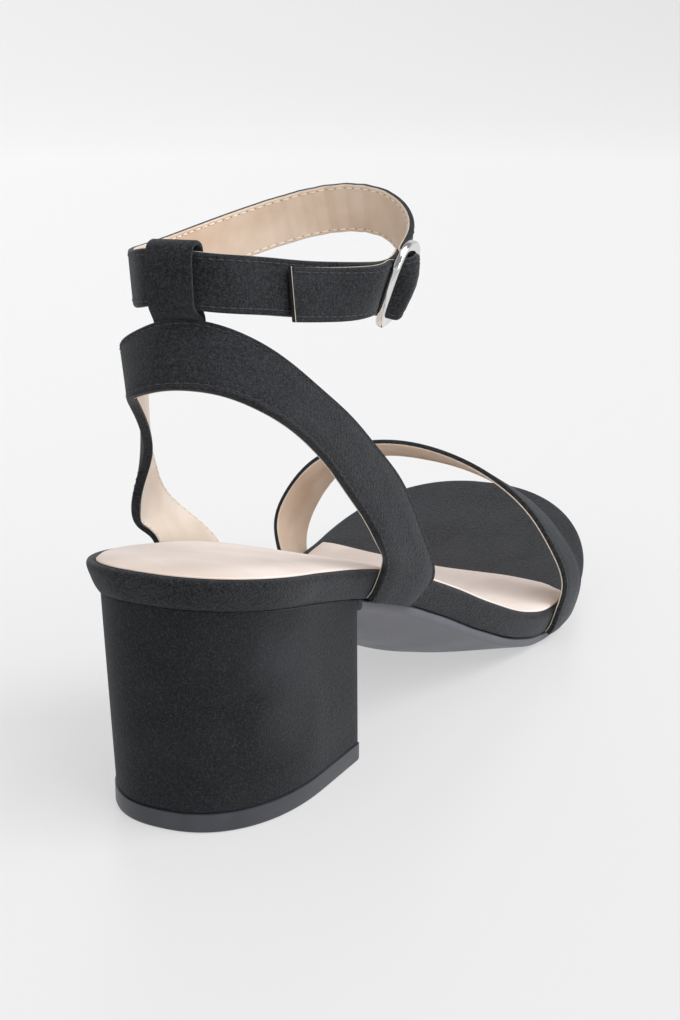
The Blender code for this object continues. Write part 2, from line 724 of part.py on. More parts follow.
def main():
    """Build every piece of the sandal."""
    for item in list(bpy.data.objects):
        bpy.data.objects.remove(item)
    root = bpy.data.objects.new("sandal_root", None)
    bpy.context.scene.collection.objects.link(root)

    def board_level(drop):
        return lambda y: footbed_z(y) - drop * steepness(y)

    every = stations()
    loft("footbed", [ring(every, r.inset, board_level(r.drop)) for r in RIM_SECTION],
         finish("suede_wrap", SUEDE, SUEDE_ROUGH), root)

    def belly(y):
        return monotone([r.y for r in OUTSOLE_BELLY], [r.depth for r in OUTSOLE_BELLY], y)

    front = stations(OUTSOLE_START, LENGTH)
    loft("outsole",
         [ring(front, r.inset, board_level(BOARD + GAP + r.drop))
          for r in OUTSOLE_SECTION],
         finish("outsole_rubber", RUBBER, OUTSOLE_ROUGH), root, belly)

    sock(finish("sock_lining", BEIGE, BEIGE_ROUGH), root)

    top_levels = [(0.0, -TOP_PIECE_CHAMFER), (TOP_PIECE_CHAMFER, TOP_PIECE_LIP),
                  (TOP_PIECE, TOP_PIECE_LIP)]
    loft("top_piece",
         [heel_ring(HEEL_FOOT_HALF + lip, HEEL_FOOT_BACK - lip, HEEL_FOOT_BREAST + lip,
                    HEEL_POWER_FOOT, lambda y, z=z: np.full(len(y), z))
          for z, lip in top_levels],
         finish("top_piece_rubber", RUBBER, TOP_PIECE_ROUGH), root)

    foot_z = TOP_PIECE + GAP
    heel_rings = []
    for share in np.linspace(0.0, 1.0, HEEL_LEVELS + 1):
        def height(y, share=share):
            roof = footbed_z(y) - (BOARD + GAP) * steepness(y)
            return foot_z + (roof - foot_z) * share
        mix = [a + (b - a) * share for a, b in (
            (HEEL_FOOT_HALF, HEEL_HEAD_HALF), (HEEL_FOOT_BACK, HEEL_HEAD_BACK),
            (HEEL_FOOT_BREAST, HEEL_HEAD_BREAST), (HEEL_POWER_FOOT, HEEL_POWER_HEAD))]
        heel_rings.append(heel_ring(*mix, height))
    loft("heel_block", heel_rings, finish("heel_suede", SUEDE, SUEDE_ROUGH), root)

    sheet("quarter_strap", quarter_middle(), STRAP,
          finish("quarter_suede", SUEDE, SUEDE_ROUGH), root)
    sheet("toe_strap", toe_strap_middle(), STRAP,
          finish("toe_strap_suede", SUEDE, SUEDE_ROUGH), root)
    sheet("ankle_strap", ankle_middle(), STRAP,
          finish("ankle_strap_suede", SUEDE, SUEDE_ROUGH), root)
    back_loop(finish("loop_suede", SUEDE, SUEDE_ROUGH), root)
    buckle(finish("buckle_silver", SILVER, SILVER_ROUGH, 1.0), root)
    centre_over_origin(root)


main()
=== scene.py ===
"""Looks of a block heel sandal for the right foot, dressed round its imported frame.

The shoe is worked out in its own millimetres: x to the outer side of the foot, y from the
back of the heel rim to the toe, z up from the floor. The bench puts each piece in the frame.
"""

import logging
import math
from dataclasses import dataclass, replace
from enum import Enum
from typing import Any, Callable, NamedTuple, Optional, Sequence, Union

import bmesh
import bpy
import numpy as np
from bpy.types import Material, Node, NodeSocket, NodeTree
from mathutils import Matrix, Vector


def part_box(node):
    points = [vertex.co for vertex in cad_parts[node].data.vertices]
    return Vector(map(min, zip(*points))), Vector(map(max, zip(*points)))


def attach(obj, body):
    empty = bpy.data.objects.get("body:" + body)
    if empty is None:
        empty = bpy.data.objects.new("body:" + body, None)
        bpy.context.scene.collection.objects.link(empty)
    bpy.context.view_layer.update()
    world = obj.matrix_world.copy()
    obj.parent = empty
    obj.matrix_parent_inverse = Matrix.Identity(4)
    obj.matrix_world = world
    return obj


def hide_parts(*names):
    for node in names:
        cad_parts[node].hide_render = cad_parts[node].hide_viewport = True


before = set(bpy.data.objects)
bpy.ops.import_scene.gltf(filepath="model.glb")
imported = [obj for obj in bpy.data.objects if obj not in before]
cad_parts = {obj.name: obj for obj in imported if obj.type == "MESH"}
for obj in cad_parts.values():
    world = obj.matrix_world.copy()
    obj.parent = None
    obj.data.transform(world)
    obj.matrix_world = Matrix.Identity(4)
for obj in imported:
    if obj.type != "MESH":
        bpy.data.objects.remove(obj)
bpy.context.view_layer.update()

LOG = logging.getLogger("sandal")
MM = 0.001
BODY = "root"

Array = np.ndarray
Faces = list[Sequence[int]]
Skin = tuple[Array, Faces]
Pair = tuple[Array, Array]
Place = tuple[float, float, float]
Table = tuple[tuple[float, float], ...]
Levels = tuple[float, float]
Amount = Union[float, Array]
Inputs = dict[Union[str, int], Any]
Swell = Callable[[Array, Array], Array]


class Side(Enum):
    """The two sides of the foot, with the sign of x there."""

    MEDIAL = -1.0
    LATERAL = 1.0


class Face(Enum):
    """The two faces of a strap, with the sign of the rise from its middle."""

    SUEDE = 1.0
    LINING = -1.0


# Curves through short tables


def shares(steps: int) -> Array:
    """Even shares from 0 to 1."""
    return np.linspace(0.0, 1.0, steps + 1)


def quarter_turn(steps: int) -> Array:
    """Even angles from 0 to a right angle."""
    return shares(steps) * math.pi / 2.0


def full_turn(steps: int) -> Array:
    """Even angles once round."""
    return shares(steps)[:-1] * 2.0 * math.pi


def hermite(xs: Array, ys: Array, slope: Array, at: Any) -> Array:
    """Cubic through points with given slopes.

    Args:
        xs: rising abscissas.
        ys: ordinates.
        slope: slope at each point.
        at: where to read the curve, held between its ends.

    Returns:
        The ordinates there.
    """
    step = np.diff(xs)
    at = np.clip(np.asarray(at, float), xs[0], xs[-1])
    k = np.clip(np.searchsorted(xs, at) - 1, 0, len(step) - 1)
    t = (at - xs[k]) / step[k]
    rest = 1.0 - t
    return (ys[k] * (1.0 + 2.0 * t) * rest ** 2 + ys[k + 1] * t ** 2 * (3.0 - 2.0 * t)
            + step[k] * (slope[k] * t * rest ** 2 - slope[k + 1] * t ** 2 * rest))


def monotone(table_x: Sequence[float], table_y: Sequence[float], at: Any) -> Array:
    """Cubic through table rows that never overshoots between two of them.

    Args:
        table_x: rising abscissas.
        table_y: ordinates.
        at: where to read the curve.

    Returns:
        The ordinates there.
    """
    xs, ys = np.asarray(table_x, float), np.asarray(table_y, float)
    step = np.diff(xs)
    rise = np.diff(ys) / step
    slope = np.zeros_like(xs)
    slope[0], slope[-1] = rise[0], rise[-1]
    for i in range(1, len(xs) - 1):
        if rise[i - 1] * rise[i] > 0.0:
            before = 2.0 * step[i] + step[i - 1]
            after = step[i] + 2.0 * step[i - 1]
            slope[i] = (before + after) / (before / rise[i - 1] + after / rise[i])
    return hermite(xs, ys, slope, at)


def natural(knots: Any, values: Any, at: Any) -> Array:
    """Smooth natural cubic spline.

    Args:
        knots: rising parameters of the rows.
        values: one row for each knot, with any number of columns.
        at: where to read the spline.

    Returns:
        One row for each place.
    """
    knots, values, at = (np.asarray(v, float) for v in (knots, values, at))
    count = len(knots)
    step = np.diff(knots)
    system = np.eye(count)
    right = np.zeros_like(values)
    for i in range(1, count - 1):
        system[i, i - 1:i + 2] = step[i - 1], 2.0 * (step[i - 1] + step[i]), step[i]
        right[i] = 6.0 * ((values[i + 1] - values[i]) / step[i]
                          - (values[i] - values[i - 1]) / step[i - 1])
    bend = np.linalg.solve(system, right.reshape(count, -1)).reshape(right.shape)
    k = np.clip(np.searchsorted(knots, at) - 1, 0, count - 2)
    shape = (-1,) + (1,) * (values.ndim - 1)
    h = step[k].reshape(shape)
    a = (knots[k + 1] - at).reshape(shape) / h
    b = (at - knots[k]).reshape(shape) / h
    return (a * values[k] + b * values[k + 1]
            + ((a ** 3 - a) * bend[k] + (b ** 3 - b) * bend[k + 1]) * h ** 2 / 6.0)


def running_length(points: Array) -> Array:
    """Length along a row of points, from 0 at the first."""
    step = np.linalg.norm(np.diff(points, axis=0), axis=1)
    return np.concatenate([[0.0], np.cumsum(step)])


def arc_knots(points: Array) -> Array:
    """Length along a row of points, as a share from 0 to 1."""
    run = running_length(points)
    return run / run[-1]


def unit(vectors: Array) -> Array:
    """Vectors of the last axis brought to length 1."""
    return vectors / np.linalg.norm(vectors, axis=-1, keepdims=True)


def smooth_step(low: float, high: float, at: Any) -> Array:
    """Soft ramp from 0 at low to 1 at high."""
    t = np.clip((np.asarray(at, float) - low) / (high - low), 0.0, 1.0)
    return t * t * (3.0 - 2.0 * t)


def super_round(t: Any, power: float) -> Array:
    """Ordinate of a rounded end: 1 at t = 0, 0 at t = 1."""
    return (1.0 - np.clip(t, 0.0, 1.0) ** power) ** (1.0 / power)


# Finishes

# Sockets of the mix node when it mixes colours
MIX_SHARE, MIX_BELOW, MIX_ABOVE, MIX_RESULT = 0, 6, 7, 2


def linear(code: str) -> tuple[float, ...]:
    """An sRGB hex colour as a linear colour with alpha 1."""
    made = [int(code[i:i + 2], 16) / 255.0 for i in (1, 3, 5)]
    return (*(s / 12.92 if s <= 0.04045 else ((s + 0.055) / 1.055) ** 2.4 for s in made), 1.0)


def feed(node: Node, inputs: Inputs) -> None:
    """Set the inputs of a node, or link them where a socket is given.

    Args:
        node: the node.
        inputs: a value, or the socket to link, for each input.
    """
    for key, value in inputs.items():
        if isinstance(value, NodeSocket):
            node.id_data.links.new(value, node.inputs[key])
        else:
            node.inputs[key].default_value = value


def add_node(tree: NodeTree, kind: str, inputs: Inputs, out: Union[str, int] = 0,
             **settings: Any) -> NodeSocket:
    """Add a node with its settings, its values and its links.

    Args:
        tree: the material's tree.
        kind: the shader node's type.
        inputs: a value, or the socket to link, for each input.
        out: the output to hand on.
        settings: properties of the node.

    Returns:
        That output.
    """
    made = tree.nodes.new("ShaderNode" + kind)
    for key, value in settings.items():
        setattr(made, key, value)
    feed(made, inputs)
    return made.outputs[out]


def per_metre(size_mm: float) -> float:
    """Texture scale at which one cell of a pattern measures that many millimetres."""
    return 1.0 / (size_mm * MM)


class SoftSpot(NamedTuple):
    """Soft spot of another tone: place in the frame and reach, in millimetres, and share."""

    x: float
    y: float
    z: float
    reach: float
    share: float


@dataclass(frozen=True)
class Finish:
    """A material's name, its soft spots of another tone (painted shade on the sock), and the steps
    that all finishes share.
    """

    name: str
    shade_and_tone_spots: tuple[SoftSpot, ...] = ()

    def start(self) -> tuple[Material, NodeTree, NodeSocket]:
        """Make a bare material.

        Returns:
            The material, its tree and the object coordinates.
        """
        made = bpy.data.materials.new(self.name)
        made.use_nodes = True
        return made, made.node_tree, add_node(made.node_tree, "TexCoord", {}, "Object")

    def end(self, made: Material, inputs: Inputs) -> Material:
        """Feed the material's shader and hand the material on."""
        feed(made.node_tree.nodes["Principled BSDF"], inputs)
        return made

    def lay(self, tree: NodeTree, base: Any, colour: str, through: NodeSocket,
            levels: Optional[Levels] = None, share: float = 1.0) -> NodeSocket:
        """Lay a colour over another through a pattern.

        Args:
            tree: the material's tree.
            base: the colour below.
            colour: the colour on top.
            through: the pattern, or without levels the share of the colour itself.
            levels: where in the pattern the colour begins and where it is full.
            share: how much of it lies where it is full.

        Returns:
            The mixed colour.
        """
        if levels:
            through = add_node(tree, "MapRange", {
                "Value": through, "From Min": levels[0], "From Max": levels[1],
                "To Max": share})
        return add_node(tree, "Mix", {
            MIX_SHARE: through, MIX_BELOW: base, MIX_ABOVE: linear(colour)}, MIX_RESULT,
            data_type="RGBA")

    def lay_shade_and_tone_spots(self, tree: NodeTree, place: NodeSocket, base: NodeSocket, tone: str) -> NodeSocket:
        """Lay the soft spots over a colour; on the sock they are painted shade.

        Args:
            tree: the material's tree.
            place: the object coordinates.
            base: the colour below.
            tone: the colour of the spots.

        Returns:
            The colour with the spots.
        """
        for spot in self.shade_and_tone_spots:
            away = add_node(tree, "VectorMath", {0: place, 1: Vector(spot[:3]) * MM}, "Value",
                            operation="DISTANCE")
            fade = add_node(tree, "MapRange", {
                "Value": away, "From Max": spot.reach * MM, "To Min": spot.share,
                "To Max": 0.0}, interpolation_type="SMOOTHSTEP")
            base = self.lay(tree, base, tone, fade)
        return base


@dataclass(frozen=True)
class SandedMicrofibre(Finish):
    """Faux suede: dyed microfibre, sanded to a short nap.

    The eye sees charcoal with a dense fine grain, cloudy where the nap was brushed, and no
    gloss but a halo at grazing angles. Single fibres are too fine to show, so the grain is
    drawn as tufts of a few fibres.
    """

    root: str = "#08090A"
    nap: str = "#242528"
    brushed: str = "#2C2D30"
    tip: str = "#54555A"
    halo_tint: str = "#A4A6AA"
    grain_mm: float = 0.7
    tip_mm: float = 0.34
    patch_mm: float = 15.0
    depth_mm: float = 0.35
    stretch: Place = (1.0, 1.0, 1.0)
    grain_levels: Levels = (0.38, 0.62)
    patch_levels: Levels = (0.38, 0.68)
    tip_levels: Levels = (0.5, 0.72)
    patch_share: float = 0.4
    tip_share: float = 0.3
    relief: float = 0.7
    halo: float = 0.36

    def make(self) -> Material:
        """Build the nodes of the finish.

        Returns:
            The material.
        """
        made, tree, place = self.start()
        lie = add_node(tree, "Mapping", {"Vector": place, "Scale": self.stretch})
        grain = add_node(tree, "TexNoise", {
            "Vector": lie, "Scale": per_metre(self.grain_mm), "Detail": 2.5, "Roughness": 0.78})
        patch = add_node(tree, "TexNoise", {
            "Vector": place, "Scale": per_metre(self.patch_mm), "Detail": 2.0,
            "Distortion": 0.6})
        speck = add_node(tree, "TexNoise", {
            "Vector": lie, "Scale": per_metre(self.tip_mm), "Detail": 1.0})
        tone = self.lay(tree, linear(self.root), self.nap, grain, self.grain_levels)
        tone = self.lay(tree, tone, self.brushed, patch, self.patch_levels,
                        self.patch_share)
        tone = self.lay(tree, tone, self.tip, speck, self.tip_levels, self.tip_share)
        relief = add_node(tree, "Bump", {
            "Height": grain, "Strength": self.relief, "Distance": self.depth_mm * MM})
        return self.end(made, {
            "Base Color": self.lay_shade_and_tone_spots(tree, place, tone, self.tip), "Normal": relief,
            "Roughness": 0.96, "Specular IOR Level": 0.22, "Sheen Weight": self.halo,
            "Sheen Roughness": 0.42, "Sheen Tint": linear(self.halo_tint)})


@dataclass(frozen=True)
class CoatedLining(Finish):
    """Lining or sock: polyurethane film on cloth, calendered smooth.

    The eye sees even beige skin with a soft sheen, faint clouding and very fine pores.
    """

    # defaults: the lining's lit copy, painted lighter and cooler than its shaded copy on the toe
    # and ankle straps
    light: str = "#DCD0C4"
    shade: str = "#CDBCAB"
    # darker tone of the soft spots: painted shade on the sock's back edge
    painted_spot_shade: str = "#B59F8D"
    cloud_mm: float = 14.0
    pore_mm: float = 0.5
    depth_mm: float = 0.06
    cloud_levels: Levels = (0.35, 0.68)
    roughness: float = 0.46
    uneven: Levels = (-0.05, 0.07)
    specular: float = 0.5

    def make(self) -> Material:
        """Build the nodes of the finish.

        Returns:
            The material.
        """
        made, tree, place = self.start()
        cloud = add_node(tree, "TexNoise", {
            "Vector": place, "Scale": per_metre(self.cloud_mm), "Detail": 3.0})
        pore = add_node(tree, "TexVoronoi", {"Vector": place, "Scale": per_metre(self.pore_mm)})
        skin = self.lay(tree, linear(self.light), self.shade, cloud, self.cloud_levels)
        gloss = add_node(tree, "MapRange", {
            "Value": cloud, "From Min": 0.3, "From Max": 0.7,
            "To Min": self.roughness + self.uneven[0],
            "To Max": self.roughness + self.uneven[1]})
        relief = add_node(tree, "Bump", {
            "Height": pore, "Strength": 0.12, "Distance": self.depth_mm * MM})
        # the soft spots darken the skin with painted shade
        return self.end(made, {
            "Base Color": self.lay_shade_and_tone_spots(tree, place, skin, self.painted_spot_shade), "Roughness": gloss,
            "Normal": relief, "IOR": 1.5, "Specular IOR Level": self.specular})


@dataclass(frozen=True)
class CutFelt(Finish):
    """Cut edge of the cream backing between suede and lining: fibrous and matt.

    The eye sees a thin pale line along the raw edges of the straps.
    """

    pale: str = "#D9CFC2"
    dusty: str = "#A79C90"
    fibre_mm: float = 0.5

    def make(self) -> Material:
        """Build the nodes of the finish.

        Returns:
            The material.
        """
        made, tree, place = self.start()
        fibre = add_node(tree, "TexNoise", {
            "Vector": place, "Scale": per_metre(self.fibre_mm), "Detail": 2.0})
        return self.end(made, {
            "Base Color": self.lay(tree, linear(self.pale), self.dusty, fibre),
            "Roughness": 0.9, "Specular IOR Level": 0.2})


@dataclass(frozen=True)
class MouldedRubber(Finish):
    """Thermoplastic rubber, moulded against a lightly blasted steel face.

    The eye sees slate grey with a broad satin highlight and faint scuffs.
    """

    body: str = "#515259"
    bloom: str = "#606169"
    haze_levels: Levels = (0.38, 0.7)
    roughness: float = 0.42
    uneven: Levels = (-0.06, 0.12)
    scuff_mm: float = 9.0
    blast_mm: float = 0.3
    depth_mm: float = 0.08

    def make(self) -> Material:
        """Build the nodes of the finish.

        Returns:
            The material.
        """
        made, tree, place = self.start()
        haze = add_node(tree, "TexNoise", {
            "Vector": place, "Scale": per_metre(self.scuff_mm), "Detail": 4.0,
            "Roughness": 0.65})
        blast = add_node(tree, "TexNoise", {
            "Vector": place, "Scale": per_metre(self.blast_mm), "Detail": 1.0})
        gloss = add_node(tree, "MapRange", {
            "Value": haze, "From Min": 0.3, "From Max": 0.75,
            "To Min": self.roughness + self.uneven[0],
            "To Max": self.roughness + self.uneven[1]})
        relief = add_node(tree, "Bump", {
            "Height": blast, "Strength": 0.15, "Distance": self.depth_mm * MM})
        return self.end(made, {
            "Base Color": self.lay(tree, linear(self.body), self.bloom, haze,
                                   self.haze_levels),
            "Roughness": gloss, "Normal": relief, "IOR": 1.52})


@dataclass(frozen=True)
class PolishedNickel(Finish):
    """Cast zinc buckle, barrel-polished and nickel-plated.

    The eye sees a mirror with sharp white highlights and a slight waviness.
    """

    plate: str = "#DEDDDB"
    wave_mm: float = 2.4
    depth_mm: float = 0.15

    def make(self) -> Material:
        """Build the nodes of the finish.

        Returns:
            The material.
        """
        made, tree, place = self.start()
        wave = add_node(tree, "TexNoise", {
            "Vector": place, "Scale": per_metre(self.wave_mm), "Detail": 1.0})
        gloss = add_node(tree, "MapRange", {
            "Value": wave, "From Min": 0.3, "From Max": 0.7, "To Min": 0.06, "To Max": 0.13})
        relief = add_node(tree, "Bump", {
            "Height": wave, "Strength": 0.1, "Distance": self.depth_mm * MM})
        return self.end(made, {"Base Color": linear(self.plate), "Metallic": 1.0,
                               "Roughness": gloss, "Normal": relief})


@dataclass(frozen=True)
class SpunThread(Finish):
    """Spun polyester sewing thread, two plies.

    The eye sees short matt dashes with a fine diagonal twist.
    """

    dye: str = "#1B1C1E"
    ply: str = "#323337"
    twist_mm: float = 0.4

    def make(self) -> Material:
        """Build the nodes of the finish.

        Returns:
            The material.
        """
        made, tree, place = self.start()
        twist = add_node(tree, "TexNoise", {
            "Vector": place, "Scale": per_metre(self.twist_mm), "Detail": 1.0})
        return self.end(made, {
            "Base Color": self.lay(tree, linear(self.dye), self.ply, twist),
            "Roughness": 0.7, "Sheen Weight": 0.15})


@dataclass(frozen=True)
class OpalSweep(Finish):
    """Studio sweep of opal acrylic, cast with a satin face and lit from behind.

    The eye sees an even near-white ground whose own glow keeps the shadows pale.
    """

    sheet: str = "#898989"
    glow: str = "#FEFEFF"
    glow_strength: float = 0.51

    def make(self) -> Material:
        """Build the nodes of the finish."""
        return self.end(self.start()[0], {
            "Base Color": linear(self.sheet), "Roughness": 0.38, "Specular IOR Level": 0.3,
            "Emission Color": linear(self.glow), "Emission Strength": self.glow_strength})


# Making pieces


@dataclass(frozen=True)
class Bench:
    """Puts pieces worked out in the shoe's millimetres into the frame."""

    axis_x: float
    back_y: float
    sharp_deg: float = 42.0
    weld: float = 1.0e-6
    sliver: float = 1.0e-7

    @classmethod
    def from_frame(cls) -> "Bench":
        """Read the heel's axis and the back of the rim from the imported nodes."""
        heel_low, heel_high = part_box("heel_block")
        return cls((heel_low.x + heel_high.x) / 2.0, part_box("footbed")[0].y)

    def piece(self, name: str, skin: Skin, material: Material, slot: str,
              node: Optional[str] = None) -> None:
        """Make a closed smooth piece that rides on the shoe.

        Args:
            name: the piece's name.
            skin: its points in shoe millimetres and its faces.
            material: its finish.
            slot: not used.
            node: the node that the piece stands for, if any.
        """
        points, faces = skin
        placed = points * MM + np.array([self.axis_x, self.back_y, 0.0])
        mesh = bpy.data.meshes.new(name)
        mesh.from_pydata(placed.tolist(), [], faces)
        body = bmesh.new()
        body.from_mesh(mesh)
        bmesh.ops.remove_doubles(body, verts=body.verts, dist=self.weld)
        bmesh.ops.dissolve_degenerate(body, edges=body.edges, dist=self.sliver)
        bmesh.ops.recalc_face_normals(body, faces=body.faces)
        body.to_mesh(mesh)
        body.free()
        mesh.shade_smooth()
        mesh.set_sharp_from_angle(angle=math.radians(self.sharp_deg))
        mesh.materials.append(material)
        made = bpy.data.objects.new(name, mesh)
        bpy.context.scene.collection.objects.link(made)
        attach(made, BODY)
        if node:
            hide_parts(node)
        LOG.info("%s: %d faces", name, len(mesh.polygons))


def swept(rings: Array, closed: bool = False) -> Skin:
    """Skin over rings of points, capped at both ends or closed on itself.

    Args:
        rings: rings, points round each ring, coordinates.
        closed: whether the last ring joins the first.

    Returns:
        Points and faces, the two caps last.
    """
    count, around, _ = rings.shape
    faces: Faces = []
    for i in range(count if closed else count - 1):
        k = (i + 1) % count
        for j in range(around):
            m = (j + 1) % around
            faces.append((i * around + j, i * around + m, k * around + m, k * around + j))
    if not closed:
        faces.append(tuple(range(around)))
        faces.append(tuple((count - 1) * around + j for j in range(around)))
    return rings.reshape(-1, 3), faces


def joined(parts: Sequence[Skin]) -> Skin:
    """Several skins as one.

    Args:
        parts: points and faces of each.

    Returns:
        Points and faces of all.
    """
    faces: Faces = []
    start = 0
    for points, part in parts:
        faces += [tuple(v + start for v in face) for face in part]
        start += len(points)
    return np.concatenate([points for points, _ in parts]), faces


@dataclass
class Loft:
    """Solid through rings of paired sides, closed by a grid across its top and its base."""

    rings: list[Pair]
    columns: int = 14
    crown: Optional[Swell] = None
    belly: Optional[Swell] = None

    def rungs(self, pair: Pair, swell: Optional[Swell]) -> Array:
        """Grid between the two sides of one ring.

        Args:
            pair: the ring's sides.
            swell: rise of the grid from the share across and y.

        Returns:
            Rows from heel to toe, columns from the first side to the second.
        """
        share = shares(self.columns)
        inner, outer = pair
        grid = inner[:, None, :] + (outer - inner)[:, None, :] * share[None, :, None]
        if swell:
            grid[:, :, 2] += swell(np.broadcast_to(share, grid.shape[:2]), grid[:, :, 1])
            grid[:, :, 2] = np.maximum(grid[:, :, 2], 0.0)
        return grid

    def skin(self) -> Skin:
        """Skin the whole solid.

        Returns:
            Points and faces.
        """
        swells = [self.crown] + [None] * (len(self.rings) - 2) + [self.belly]
        grids = [self.rungs(pair, swell) for pair, swell in zip(self.rings, swells)]
        points, faces = swept(np.array([
            np.concatenate([g[:, 0], g[-1, 1:-1], g[::-1, -1], g[0, -2:0:-1]]) for g in grids]))
        rows, columns, _ = grids[0].shape
        at = np.arange(rows * columns).reshape(rows, columns)
        quads = np.stack([at[:-1, :-1], at[:-1, 1:], at[1:, 1:], at[1:, :-1]], axis=-1)
        ends = [(g.reshape(-1, 3), quads.reshape(-1, 4).tolist()) for g in (grids[0], grids[-1])]
        return joined([(points, faces[:-2]), *ends])


class Rim(NamedTuple):
    """Point of a sole section: in from the outline, down from the top."""

    inset: float
    drop: float


@dataclass(frozen=True)
class Last:
    """Driving outline and profile that sole and straps share."""

    length: float = 242.0
    seat_half: float = 24.5
    seat_depth: float = 36.0
    seat_power: float = 2.3
    toe_tip_x: float = -15.0
    toe_round: tuple[float, float] = (50.0, 82.0)
    toe_power: tuple[float, float] = (2.4, 2.0)
    # y, x of the inner edge, x of the outer edge
    edges: tuple[Place, ...] = (
        (36.0, -24.5, 24.5), (60.0, -24.2, 26.2), (85.0, -23.2, 28.6), (105.0, -25.8, 31.2),
        (125.0, -32.4, 33.8), (145.0, -41.4, 35.7), (160.0, -46.6, 36.2), (175.0, -49.8, 35.0),
        (192.0, -51.0, 33.0))
    # y, height of the top of the board
    heights: Table = (
        (0.0, 60.4), (20.0, 56.4), (40.0, 52.2), (60.0, 47.4), (80.0, 40.6), (100.0, 31.8),
        (120.0, 22.0), (140.0, 13.7), (153.0, 10.5), (163.0, 9.7), (180.0, 9.7), (190.0, 10.4),
        (201.0, 11.8), (213.0, 13.6), (226.0, 15.9), (242.0, 18.9))
    heel_steps: int = 40
    waist_steps: int = 62
    toe_steps: int = 52
    row_gap: float = 0.3
    slope_step: float = 0.5
    normal_step: float = 0.05

    def top(self, y: Any) -> Array:
        """Height of the top of the board."""
        return monotone(*zip(*self.heights), y)

    def steepness(self, y: Any) -> Array:
        """How much longer a thickness reads vertically on the sloping board."""
        rise = self.top(np.add(y, self.slope_step)) - self.top(np.subtract(y, self.slope_step))
        return np.sqrt(1.0 + (rise / (2.0 * self.slope_step)) ** 2)

    def below(self, y: Any, drop: float) -> Array:
        """Height of a level that lies below the top of the board."""
        return self.top(y) - drop * self.steepness(y)

    def edge(self, y: Any, side: Side) -> Array:
        """Outline of the board on one side.

        Args:
            y: stations.
            side: side of the foot.

        Returns:
            x at each station.
        """
        y = np.asarray(y, float)
        at = int(side is Side.LATERAL)
        rows, *columns = zip(*self.edges)
        seat = self.seat_half * super_round(1.0 - y / self.seat_depth, self.seat_power)
        x = np.where(y < self.seat_depth, side.value * seat, monotone(rows, columns[at], y))
        reach = self.toe_round[at]
        start = self.length - reach
        widest = float(monotone(rows, columns[at], start))
        round_off = super_round((y - start) / reach, self.toe_power[at])
        return np.where(y > start, self.toe_tip_x + (widest - self.toe_tip_x) * round_off, x)

    def outline(self, y: Any, side: Side, inset: Amount) -> Array:
        """Outline moved inward.

        Args:
            y: stations.
            side: side of the foot.
            inset: distance inward, one or one for each station.

        Returns:
            A point in plan for each station.
        """
        y = np.asarray(y, float)
        low, high = (np.clip(y + a, 0.0, self.length)
                     for a in (-self.normal_step, self.normal_step))
        dx = self.edge(high, side) - self.edge(low, side)
        normal = side.value * unit(np.stack([high - low, -dx], axis=1))
        normal[y <= 0.0] = (0.0, -1.0)
        normal[y >= self.length] = (0.0, 1.0)
        return np.stack([self.edge(y, side), y], axis=1) - np.reshape(inset, (-1, 1)) * normal

    def stations(self, first: float, last: float) -> Array:
        """Stations along the foot, closer together round the heel and the toe.

        Args:
            first: y of the first.
            last: y of the last.

        Returns:
            y of all.
        """
        heel = self.seat_depth * (1.0 - np.cos(quarter_turn(self.heel_steps)))
        toe_start = self.length - self.toe_round[1]
        waist = np.linspace(self.seat_depth, toe_start, self.waist_steps + 1)
        toe = toe_start + self.toe_round[1] * np.sin(quarter_turn(self.toe_steps))
        rows = np.concatenate([heel[:-1], waist[:-1], toe])
        inside = rows[(rows > first + self.row_gap) & (rows < last - self.row_gap)]
        return np.concatenate([[first], inside, [last]])

    def ring(self, rows: Array, inset: float, drop: float) -> Pair:
        """Both sides of the outline at one inset and one level."""
        flat = [self.outline(rows, side, inset) for side in Side]
        return tuple(np.column_stack([f, self.below(f[:, 1], drop)]) for f in flat)


# Sole


@dataclass
class Footbed:
    """Board wrapped in suede, with its rolled rim."""

    last: Last
    section_steps: int = 22
    section: tuple[Rim, ...] = (
        Rim(3.0, 0.0), Rim(1.0, 0.05), Rim(0.2, 0.5), Rim(0.0, 1.2),
        Rim(0.7, 3.6), Rim(1.7, 5.9), Rim(2.4, 6.9))
    widest: int = 3

    def build(self, bench: Bench, suede: Material) -> None:
        """Loft the wrapped board.

        Args:
            bench: where pieces are made.
            suede: the finish.
        """
        rows = self.last.stations(0.0, self.last.length)
        table = np.array(self.section)
        inset, drop = (monotone(arc_knots(table), column, shares(self.section_steps))
                       for column in table.T)
        rings = [self.last.ring(rows, a, b) for a, b in zip(inset, drop)]
        bench.piece("footbed_wrap", Loft(rings).skin(), suede, "suede_wrap", "footbed")


